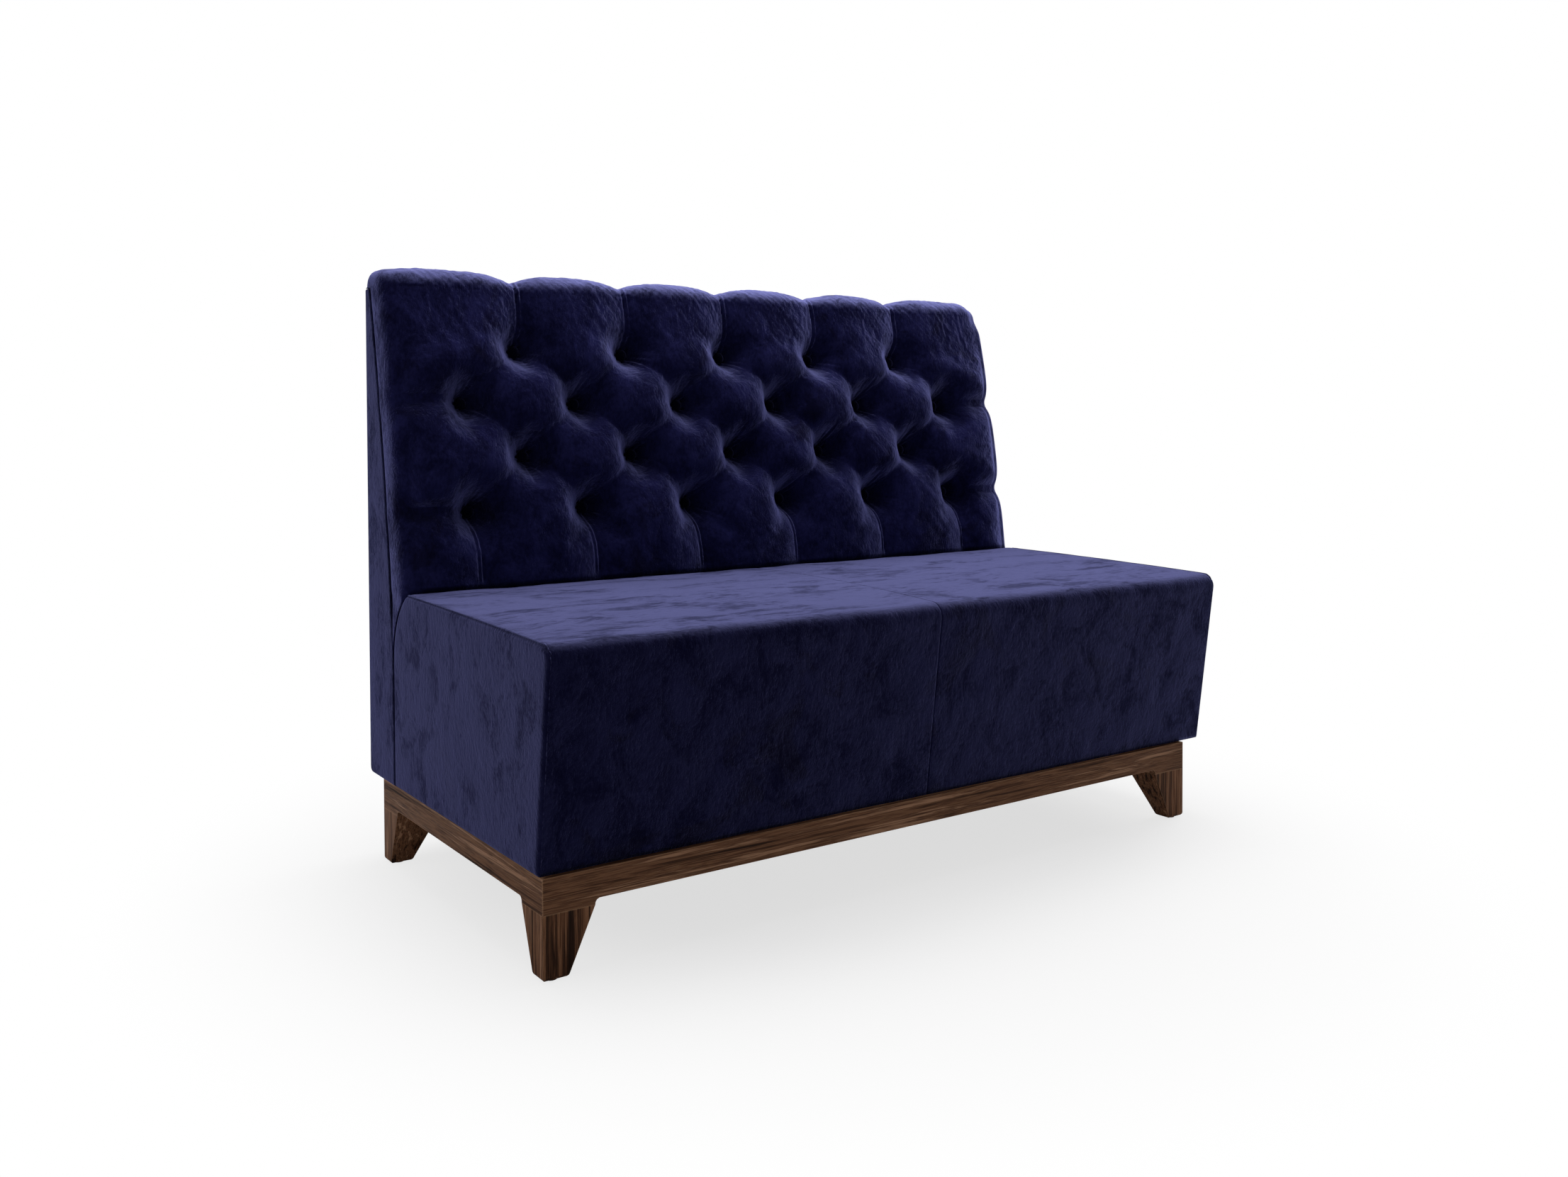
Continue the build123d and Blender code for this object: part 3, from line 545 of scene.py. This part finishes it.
def pad_rows(step):
    """The rows of the skin, from under the seat up the front, round the roll and down behind it: the part
    each belongs to, its measure within that part, and how far round the pad it lies."""
    front = np.arange(SILL, ROLL_START, step)
    turn = np.linspace(ROLL_TURN, pi / 2, round(50 / step))
    flat = np.linspace(0, ROLL_FLAT, round(ROLL_FLAT / step) + 1)[1:]
    rear = np.linspace(0, 1, round(ROLL_TAIL / step) + 1)[1:]
    tucked = np.linspace(-1, 0, TUCK_ROWS)[:-1]
    parts = (tucked, front, turn, flat, rear)
    spread = (
        SILL + tucked * 4, front, ROLL_START + (turn - ROLL_TURN) * ROLL_R,
        ROLL_START + ROLL_SPREAD + flat, ROLL_START + ROLL_SPREAD + ROLL_FLAT + rear * ROLL_TAIL,
    )
    kind = np.concatenate([np.full(len(part), i) for i, part in enumerate(parts)])
    return kind, np.concatenate(parts), np.concatenate(spread)


def pad_place(rows, x, thick):
    """Where the skin lies at each row, for a pad so thick there."""
    kind, value, _ = (row[:, None] for row in rows)
    phi = np.arcsin((np.where(kind == 1, value, ROLL_START) - LEAN_Z) / LINE_R)
    r = thick - ROLL_AHEAD
    rear = 0.45 * r
    end = np.arcsin(np.clip((SHELL_TOP + BACK_GAP - ROLL_Z - r + rear) / rear, -1, 1))
    turn = pi / 2 + (end - pi / 2) * value
    depth = -TUCK_DEPTH * value
    sill_y = LEAN_Y - np.sqrt((LEAN_R + thick) ** 2 - (SILL - LEAN_Z) ** 2)
    behind = CREVICE_GAP + CREVICE_Y
    tucked = behind + np.sqrt(np.maximum(CREVICE_R**2 - (SILL - depth - CARCASS_TOP) ** 2, 0))
    start = behind + sqrt(CREVICE_R**2 - (SILL - CARCASS_TOP) ** 2)
    y = np.choose(kind, (
        tucked + (sill_y - start) * np.clip(1 - depth / 16, 0, 1) ** 2,
        LEAN_Y - (LEAN_R + thick) * np.cos(phi),
        ROLL_Y - r * np.cos(value),
        ROLL_Y + value + 0 * r,
        ROLL_Y + ROLL_FLAT + rear * np.maximum(np.cos(turn), 0) ** 0.45,
    ))
    z = np.choose(kind, (
        SILL - depth + 0 * r, LEAN_Z + (LEAN_R + thick) * np.sin(phi),
        ROLL_Z + r * np.sin(value), ROLL_Z + r, ROLL_Z + r - rear + rear * np.sin(turn),
    ))
    return np.stack((np.broadcast_to(x, y.shape), y, z), axis=-1)


def pad_front(step, folds=True):
    """The rows and columns of the front, and the thickness and place of every point."""
    rows = pad_rows(step)
    x = np.linspace(-1, 1, 2 * round((PAD_END - CORNER) / step) + 1) * (PAD_END - CORNER)
    grid_x, grid_v = np.meshgrid(x, rows[2])
    thick = pad_thickness(grid_x, grid_v)
    if folds:
        rim = smooth(0, 12, PAD_END - CORNER - np.abs(grid_x)) * smooth(SILL - 2, SILL + 12, grid_v)
        thick = thick + pad_folds(grid_x, grid_v) * rim
    return rows, x, thick, pad_place(rows, grid_x, thick)


def pad_back_line(rows):
    kind, value, _ = rows
    phi = np.arcsin((np.where(kind == 1, value, ROLL_START) - LEAN_Z) / LINE_R)
    tucked_z = SILL + TUCK_DEPTH * np.minimum(value, 0)
    y = np.where(kind == 0, LEAN_Y - np.sqrt((LEAN_R + BACK_GAP) ** 2 - (tucked_z - LEAN_Z) ** 2), 0)
    y = np.where(kind == 1, LEAN_Y - (LEAN_R + BACK_GAP) * np.cos(phi), y)
    z = np.where(kind == 0, tucked_z, LEAN_Z + (LEAN_R + BACK_GAP) * np.sin(phi))
    tail = np.flatnonzero(kind >= 2)
    y[tail] = np.linspace(319.3, 337, len(tail))
    z[tail] = SHELL_TOP + BACK_GAP
    return np.stack((y, z), axis=-1)


def pad_skin(rows, thick, front):
    """The whole skin as a tube: the front, both ends with their rounded corners, and the back."""
    back = pad_back_line(rows)
    ends = []
    for sign, edge in ((-1, thick[:, :1]), (1, thick[:, -1:])):
        columns = []
        for a in np.linspace(0, pi / 2, 7)[1:]:
            x = sign * (PAD_END - CORNER + CORNER * sin(a))
            columns.append(pad_place(rows, x, edge - CORNER_DEPTH * (1 - cos(a)))[:, 0])
        corner = columns[-1]
        for share in np.linspace(0, 1, 14)[1:]:
            point = corner.copy()
            point[:, 1:] += (back - corner[:, 1:]) * share
            point[:, 0] += sign * (0.8 * sin(pi * share) - 3.5 * share**9)
            columns.append(point)
        ends.append(np.stack(columns, axis=1))
    across = np.linspace(1, -1, 14)[1:-1] * (PAD_END - 4)
    rear = np.stack([np.concatenate((np.full((len(back), 1), x), back), axis=1) for x in across], axis=1)
    return np.concatenate((ends[0][:, ::-1], front, ends[1], rear), axis=1)


def settle(points, held, pressure, frames, cap, slack):
    """Runs a skin as cloth that is held in places, and gives how far each of its points moved."""
    skin = grid_mesh("settling_skin", points)
    group = skin.vertex_groups.new(name="held")
    for index, weight in enumerate(held.ravel()):
        group.add([index], float(weight), "REPLACE")
    cloth = skin.modifiers.new("cloth", "CLOTH")
    cloth.settings.quality = 4
    cloth.settings.use_pressure = True
    cloth.settings.uniform_pressure_force = pressure
    cloth.settings.vertex_group_mass = "held"
    cloth.settings.shrink_min = -slack
    cloth.settings.effector_weights.gravity = 0
    cloth.collision_settings.use_collision = False
    scene = bpy.context.scene
    for number in range(1, frames + 1):
        scene.frame_set(number)
    settled = skin.evaluated_get(bpy.context.evaluated_depsgraph_get()).to_mesh()
    moved = np.empty(len(settled.vertices) * 3)
    settled.vertices.foreach_get("co", moved)
    moved = moved.reshape(points.shape) * 1000 - points
    bpy.data.objects.remove(skin)
    scene.frame_set(1)
    length = np.linalg.norm(moved, axis=-1, keepdims=True) + 1e-9
    return moved / length * np.minimum(length, cap)


def resample(field, old_rows, old_columns, rows, columns):
    """A field on one grid, read at the places of a finer one."""
    tall = np.stack([
        [np.interp(rows, old_rows, field[:, c, k]) for c in range(len(old_columns))] for k in range(3)
    ])
    return np.stack([
        [np.interp(columns, old_columns, tall[k, :, r]) for r in range(len(rows))] for k in range(3)
    ], axis=-1)


def back_pad():
    rows, x, thick, front = pad_front(2)
    coarse_rows, coarse_x, _, coarse = pad_front(6, folds=False)
    grid_x, grid_v = np.meshgrid(coarse_x, coarse_rows[2])
    held = 0.08 + 0.3 * smooth(60, 0, PAD_END - CORNER - np.abs(grid_x)) + 0.3 * smooth(780, 930, grid_v)
    pleat = np.min([from_line(grid_x, grid_v, *line[:4])[1] for line in pleats()], axis=0)
    held += 0.25 * np.exp(-((pleat / 7) ** 2))
    held = np.where(from_buttons(grid_x, grid_v) < 15, 1, held)
    held[:2], held[-2:], held[:, :2], held[:, -2:] = 1, 1, 1, 1
    moved = settle(coarse, held, pressure=2, frames=12, cap=5, slack=0.008)
    front = front + resample(moved, coarse_rows[2], coarse_x, rows[2], x)
    return close(grid_mesh("back_pad_velvet", pad_skin(rows, thick, front), closed=True))


def soft(obj, *nodes, material=None, fill=1.0):
    """Hands a padded piece to its body in place of its solids."""
    obj.data.materials.append(material or seat_velvet)
    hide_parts(*nodes)
    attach(obj, body)
    return obj


soft(back_pad(), "back_pad", material=pad_velvet, fill=0.9)

# Seat cover: a foam-backed skin, whose halves turn in to the seam at the middle
EDGE = 22
COVER_END, COVER_THICK = 644.5, 6
EDGE_CENTER = (FRONT_Y + EDGE, SEAT_FRONT - EDGE)
FOOT_Y = FRONT_Y + 36
front_slope = atan2(EDGE_CENTER[1] - FOOT_Z, EDGE_CENTER[0] - FOOT_Y)
front_slope += asin(EDGE / hypot(EDGE_CENTER[0] - FOOT_Y, EDGE_CENTER[1] - FOOT_Z))


def crevice(z):
    return CREVICE_Y + sqrt(CREVICE_R**2 - (z - CARCASS_TOP) ** 2), z


def seat_top_line(crown):
    start, end = (EDGE_CENTER[0], SEAT_FRONT), crevice(SEAT_REAR)
    t = np.linspace(0, 1, 60)
    arch = 4 * crown * t * (1 - t)
    return list(zip(start[0] + (end[0] - start[0]) * t, start[1] + (end[1] - start[1]) * t + arch))


STEP = 2.5
COVER_STEP = STEP * 2.4
RIPPLE_ROW = 6.0


def seat_loop():
    """The closed section of the cover: its face from the foot to the crevice, and its back."""
    face = [
        (FOOT_Y, FOOT_Z), *arc(EDGE_CENTER, EDGE, front_slope + pi / 2, pi / 2),
        *seat_top_line(0)[1:], *[crevice(z) for z in np.linspace(SEAT_REAR - 4, 392, 10)],
    ]
    face = along(face, step=COVER_STEP)
    way = np.gradient(face, axis=0)
    way /= np.hypot(*way.T)[:, None]
    return face, np.stack((-way[:, 1], way[:, 0]), axis=-1)


def seat_cover(side):
    face, out = seat_loop()
    near_seam = np.array([0.2, 0.6, 1.2, 2, 3.2, 5, 8, 12, 17, 23])
    near_end = COVER_END - near_seam[:7][::-1]
    between = np.linspace(29, 634, round((634 - 29) / COVER_STEP))
    xs = np.concatenate((near_seam, between, near_end)) * side
    grid_x, row = np.meshgrid(xs, np.arange(len(face)))
    y, z = face[row, 0], face[row, 1]
    off = np.abs(grid_x)
    end = COVER_END - off
    lift = np.clip((y - EDGE_CENTER[0]) / (crevice(SEAT_REAR)[0] - EDGE_CENTER[0]), 0, 1)
    on_top = smooth(-330, -300, y) * (z > 420)
    crown = (1.5 + 3.5 * smooth(0, 70, end)) * 4 * lift * (1 - lift) * on_top
    top_end = smooth(410, 428, z)
    turn_in = 1.3 * np.exp(-off / 0.9) + 0.25 * np.exp(-off / 12) + 2.2 * np.exp(-end / 1.8) * top_end
    uneven = 0.35 * ripple(grid_x, (row + 1) * RIPPLE_ROW, 130, 3)
    uneven += 0.12 * ripple(grid_x, row * RIPPLE_ROW, 38, 4)
    move = crown - turn_in + uneven * smooth(0, 30, off) * smooth(0, 20, end)
    outer = np.stack((grid_x, y + out[row, 0] * move, z + out[row, 1] * move), axis=-1)
    inner = (grid_x, y - out[row, 0] * COVER_THICK, z - out[row, 1] * COVER_THICK)
    back = np.stack(inner, axis=-1)[::-1][::6]
    loop = np.concatenate((outer, back), axis=0).transpose(1, 0, 2)
    name = "left" if side < 0 else "right"
    return soft(close(grid_mesh(f"seat_cover_{name}_velvet", loop, closed=True)), f"seat_cover_{name}")


for side in (-1, 1):
    seat_cover(side)


def seat_foam():
    """The foam under the cover, cut to its section and a little uneven."""
    low, high = (1000 * np.array(corner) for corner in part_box("seat_foam"))
    face, out = seat_loop()
    section = face - out * (COVER_THICK + 0.6)
    section = section[section[:, 1] > low[2] + 1]
    section = np.concatenate(([[section[0, 0], low[2] + 0.2]], section, [[section[-1, 0], low[2] + 0.2]]))
    base = along([section[-1], section[0]], step=STEP * 6)[1:-1]
    loop = np.concatenate((section, base))
    xs = np.linspace(low[0] + 0.3, high[0] - 0.3, round(1280 / (STEP * 4)))
    grid_x, row = np.meshgrid(xs, np.arange(len(loop)))
    y, z = loop[row, 0], loop[row, 1]
    dip = 0.25 * (1 + np.tanh(ripple(grid_x, row * RIPPLE_ROW, 60, 8))) * (z > low[2] + 1)
    points = np.stack((grid_x, y, z - dip), axis=-1).transpose(1, 0, 2)
    obj = close(grid_mesh("seat_foam_block", points, closed=True))
    return soft(obj, "seat_foam", material=foam_finish, fill=0.95)


seat_foam()


DUST_SAG = 2.4


def dust_sheet():
    """The cloth under the seat: stretched over the base and a little slack between its rails."""
    (left, front, under), (right, rear, over) = (1000 * np.array(c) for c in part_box("dust_cover"))
    sides = ("left", "middle", "right", "front", "rear")
    rails = [1000 * np.array(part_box(f"base_rail_{side}")) for side in sides]
    x, y = np.meshgrid(np.linspace(left, right, 160), np.linspace(front, rear, 80))
    deep = np.clip((y - rails[3][1, 1]) / (rails[4][0, 1] - rails[3][1, 1]), 0, 1)
    sag = 0
    for near, far in ((rails[0][1, 0], rails[1][0, 0]), (rails[1][1, 0], rails[2][0, 0])):
        sag = sag + np.sin(pi * np.clip((x - near) / (far - near), 0, 1)) ** 0.7 * np.sin(pi * deep) ** 0.7
    sag = DUST_SAG * np.abs(sag) * (1 + 0.15 * ripple(x, y, 180, 9))
    cloth = grid_mesh("dust_cloth_sheet", np.stack((x, y, (over + under) / 2 - sag), axis=-1))
    cloth.data.materials.append(dust_finish)
    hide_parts("dust_cover")
    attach(cloth, body)


# Upholstered panels: a face with rounded edges, on a patch between four boundary lines
EDGE_SHARES = np.array([0, 0.003, 0.008, 0.015, 0.025, 0.04, 0.06, 0.09, 0.13])
PANEL_COLUMNS, PANEL_UNEVEN = 24, 0.35
SEAM_DEPTH, SEAM_SHARES = 2.2, np.array([[0.6], [1]])


def panel(name, lines, face, back, ease, axis=0, seam=0):
    """lines: foot, top, front and rear boundaries, each from its front or lower end. seam is how deep
    the line sewn just under the top edge pulls in."""
    shares = np.concatenate((EDGE_SHARES, np.linspace(0.18, 0.82, PANEL_COLUMNS), 1 - EDGE_SHARES[::-1]))
    low = EDGE_SHARES[:6] / 2
    tall = np.concatenate((low, np.linspace(0.03, 0.97, PANEL_COLUMNS * 3), 1 - low[::-1]))
    foot, top = along(lines[0], shares), along(lines[1], shares)
    front, rear = along(lines[2], tall), along(lines[3], tall)
    s, t = shares[None, :, None], tall[:, None, None]
    patch = (1 - t) * foot[None] + t * top[None] + (1 - s) * front[:, None] + s * rear[:, None]
    patch -= (1 - s) * (1 - t) * foot[0] + s * (1 - t) * foot[-1] + (1 - s) * t * top[0] + s * t * top[-1]
    rim = np.concatenate([along(line, 500) for line in lines])
    flat = patch.reshape(-1, 2)
    away = np.array([np.hypot(*(rim - point).T).min() for point in flat]).reshape(patch.shape[:2])
    fall = ease - np.sqrt(np.maximum(ease**2 - np.maximum(ease - away, 0) ** 2, 0))
    swell = PANEL_UNEVEN * ripple(patch[..., 0], patch[..., 1], 150, 11) * smooth(3, 40, away)
    depth = face - np.sign(face) * (fall - swell + PANEL_UNEVEN)
    depth[-6:-4] -= np.sign(face) * seam * SEAM_SHARES
    u, w = np.pad(patch[..., 0], 1, mode="edge"), np.pad(patch[..., 1], 1, mode="edge")
    d = np.pad(depth, 1, constant_values=back)
    full = np.stack((d, u, w) if axis == 0 else (u, d, w), axis=-1)
    flip = (face > 0) == (axis == 0)
    return close(grid_mesh(name, full if flip else full[:, ::-1]))


def lean_line(low, high, ahead=0, count=40):
    z = np.linspace(low, high, count)
    return list(zip(LEAN_Y - np.sqrt((LEAN_R + ahead) ** 2 - (z - LEAN_Z) ** 2), z))


half_arc = arc(EDGE_CENTER, EDGE, front_slope + pi / 2, pi / 2, 13)
seat_side = (
    [(FOOT_Y, FOOT_Z), (SEAT_REAR_Y, FOOT_Z)],
    [*half_arc[6:], *seat_top_line(1.5)[1:]],
    [(FOOT_Y, FOOT_Z), *half_arc[:7]],
    [(SEAT_REAR_Y, FOOT_Z), *[crevice(z) for z in np.linspace(CARCASS_TOP, SEAT_REAR, 20)]],
)
SHELL_CORNER = 10
low_corner = arc((REAR_Y - SHELL_CORNER, FOOT_Z + SHELL_CORNER), SHELL_CORNER, -pi / 2, 0, 13)
shell_side = (
    [(SHELL_FOOT_Y, FOOT_Z), *low_corner[:7]],
    [(SHELL_TOP_Y, SHELL_TOP), (REAR_Y, SHELL_TOP)],
    [(SHELL_FOOT_Y, FOOT_Z), *lean_line(CARCASS_TOP, SHELL_TOP)],
    [*low_corner[6:], (REAR_Y, SHELL_TOP)],
)
for name, sign in (("left", -1), ("right", 1)):
    outer, inner = sign * HALF, sign * BOARDS_HALF
    side = panel(f"seat_side_{name}_velvet", seat_side, outer, inner, 6, seam=SEAM_DEPTH)
    soft(side, f"seat_side_{name}")
    soft(panel(f"shell_side_{name}_velvet", shell_side, outer, inner, 4), f"shell_side_{name}")

# The rear panel's foot follows the rounded corner of the shell, and stops short of the panel's own back
DEEPEST_DROP = 7.9
rear_foot = FOOT_Z + 2
rear_lines = (
    [(-BOARDS_HALF, rear_foot), (BOARDS_HALF, rear_foot)],
    [(-BOARDS_HALF, SHELL_TOP), (BOARDS_HALF, SHELL_TOP)],
    [(-BOARDS_HALF, rear_foot), (-BOARDS_HALF, SHELL_TOP)],
    [(BOARDS_HALF, rear_foot), (BOARDS_HALF, SHELL_TOP)],
)
rear_panel = panel("shell_rear_velvet", rear_lines, REAR_Y, REAR_Y - 4, 1.5, axis=1)
for vertex in rear_panel.data.vertices:
    drop = min(max(FOOT_Z + SHELL_CORNER - vertex.co.z * 1000, 0), DEEPEST_DROP)
    vertex.co.y = min(vertex.co.y, (REAR_Y - SHELL_CORNER + sqrt(SHELL_CORNER**2 - drop**2)) / 1000)
soft(rear_panel, "shell_rear_panel", material=rear_velvet)
dust_sheet()


# In metres: the height under which a leg's edges are rounded, and by how much
LEG_FOOT_HEIGHT, LEG_FOOT_ROUND = 0.014, 0.0045


def leg(name, node):
    """A leg in walnut, with the edges round its foot rounded over."""
    mesh = bmesh.new()
    mesh.from_mesh(node.data)
    bmesh.ops.remove_doubles(mesh, verts=mesh.verts, dist=1e-5)
    bmesh.ops.dissolve_limit(mesh, angle_limit=radians(1), verts=mesh.verts, edges=mesh.edges)
    low = [
        e for e in mesh.edges
        if max(v.co.z for v in e.verts) < LEG_FOOT_HEIGHT and e.calc_face_angle(0) > 0.3
    ]
    bmesh.ops.bevel(
        mesh, geom=low, offset=LEG_FOOT_ROUND, segments=4, profile=0.5, affect="EDGES", clamp_overlap=True,
    )
    bmesh.ops.dissolve_degenerate(mesh, edges=mesh.edges, dist=1e-5)
    data = bpy.data.meshes.new(f"{name}_walnut")
    mesh.to_mesh(data)
    mesh.free()
    obj = bpy.data.objects.new(f"{name}_walnut", data)
    bpy.context.scene.collection.objects.link(obj)
    data.materials.append(walnut_z)
    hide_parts(name)
    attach(obj, body)


for name in ("leg_front_left", "leg_front_right", "leg_rear_left", "leg_rear_right"):
    leg(name, frame["nodes"][name])

# Materials of the nodes that are carried over, by name or by their slot in the record
FINISHES = {
    "base_rail_front": walnut_x, "base_rail_rear": walnut_x, "base_rail_left": walnut_y,
    "base_rail_right": walnut_y, "walnut": walnut_z, "button_velvet": button_velvet,
    "velvet": seat_velvet, "foam": foam_finish, "dust_cloth": dust_finish,
    "beech": grained("beech_finish", (0.56, 0.36, 0.2), (0.4, 0.22, 0.11), 0, 110, 0.7),
    "hardboard": dull("hardboard_finish", (0.14, 0.075, 0.035), (0.25, 0.145, 0.075), 700, 0.85, 0.0002),
    "plywood": plywood(), "zinc_steel": zinc(),
    "glide_nylon": dull("nylon_finish", (0.035, 0.019, 0.011), (0.065, 0.036, 0.022), 800, 0.6, 0.0001),
}
for name, obj in frame["nodes"].items():
    for held in obj.material_slots:
        held.material = FINISHES[name if name in FINISHES else held.material.name.split(".")[0]]

# Camera, solved from the photograph's vanishing lines. Its frame, its focal length and the row that its
# axis meets are in the photograph's pixels.
FRAME_WIDE, FRAME_HIGH = 2212, 1660
FOCAL, AXIS_ROW = 1900.8, 642.1
CAMERA_PLACE = Vector((-1.362, -1.864, 0.706))
cam_data = bpy.data.cameras.new("camera")
cam_data.sensor_width = 36
cam_data.lens = FOCAL / FRAME_WIDE * 36
cam_data.shift_y = (AXIS_ROW - FRAME_HIGH / 2) / FRAME_WIDE
cam_data.clip_start, cam_data.clip_end = 0.05, 100
camera = bpy.data.objects.new("camera", cam_data)
bpy.context.scene.collection.objects.link(camera)
yaw, pitch, roll = radians(35.13), radians(1.37), radians(0.23)
forward = Vector((sin(yaw) * cos(pitch), cos(yaw) * cos(pitch), -sin(pitch)))
right_way = Vector((cos(yaw), -sin(yaw), 0))
down = forward.cross(right_way)
turned_right = right_way * cos(roll) + down * sin(roll)
turned_down = down * cos(roll) - right_way * sin(roll)
turn = Matrix((turned_right, -turned_down, -forward)).transposed()
camera.matrix_world = Matrix.Translation(CAMERA_PLACE) @ turn.to_4x4()
bpy.context.scene.camera = camera

# Light and floor
AMBIENT = 0.22
FLOOR_HALF = 9
bpy.context.scene.view_settings.view_transform = "Standard"
world = bpy.data.worlds.new("studio")
bpy.context.scene.world = world
world.use_nodes = True
sky = world.node_tree
background = sky.nodes["Background"]
path = sky.nodes.new("ShaderNodeLightPath")
level = sky.nodes.new("ShaderNodeMapRange")
level.inputs["To Min"].default_value = AMBIENT
level.inputs["To Max"].default_value = 1
sky.links.new(path.outputs["Is Camera Ray"], level.inputs["Value"])
sky.links.new(level.outputs["Result"], background.inputs["Strength"])
background.inputs["Color"].default_value = (1, 1, 1, 1)


def lamp(name, place, aim, size, power):
    data = bpy.data.lights.new(name, "AREA")
    data.shape = "RECTANGLE"
    data.size, data.size_y = size
    data.energy = power
    obj = bpy.data.objects.new(name, data)
    obj.location = place
    obj.rotation_mode = "QUATERNION"
    obj.rotation_quaternion = (Vector(aim) - Vector(place)).to_track_quat("-Z", "Y")
    bpy.context.scene.collection.objects.link(obj)


lamp("overhead", (0.3, 0.5, 3.0), (0, 0.1, 0.4), (2.6, 2.0), 75)
lamp("left_softbox", (-3.2, 0.6, 1.6), (0, 0, 0.5), (1.8, 1.8), 10)
lamp("right_rim", (3.0, 0.6, 2.1), (0, 0.2, 0.7), (1.4, 1.6), 34)

floor = bpy.data.meshes.new("floor")
corners = [(x * FLOOR_HALF, y * FLOOR_HALF, 0) for x, y in ((-1, -1), (1, -1), (1, 1), (-1, 1))]
floor.from_pydata(corners, [], [(0, 1, 2, 3)])
floor_obj = bpy.data.objects.new("floor", floor)
bpy.context.scene.collection.objects.link(floor_obj)
floor_mat, tree, shader = nodes_of("pale_floor")
shader.inputs["Base Color"].default_value = (0.8, 0.8, 0.8, 1)
shader.inputs["Roughness"].default_value = 0.9
reach = tree.nodes.new("ShaderNodeVectorMath")
reach.operation = "LENGTH"
tree.links.new(place_of(tree), reach.inputs[0])
white = tree.nodes.new("ShaderNodeEmission")
fade = curve(tree, reach.outputs["Value"], 0.45, 1.15, 0.7, 1)
seen = tree.nodes.new("ShaderNodeLightPath").outputs["Is Camera Ray"]
only_seen = tree.nodes.new("ShaderNodeMath")
only_seen.operation = "MULTIPLY"
tree.links.new(fade, only_seen.inputs[0])
tree.links.new(seen, only_seen.inputs[1])
mix = tree.nodes.new("ShaderNodeMixShader")
tree.links.new(only_seen.outputs[0], mix.inputs["Fac"])
tree.links.new(shader.outputs[0], mix.inputs[1])
tree.links.new(white.outputs[0], mix.inputs[2])
tree.links.new(mix.outputs[0], tree.nodes["Material Output"].inputs["Surface"])
floor.materials.append(floor_mat)
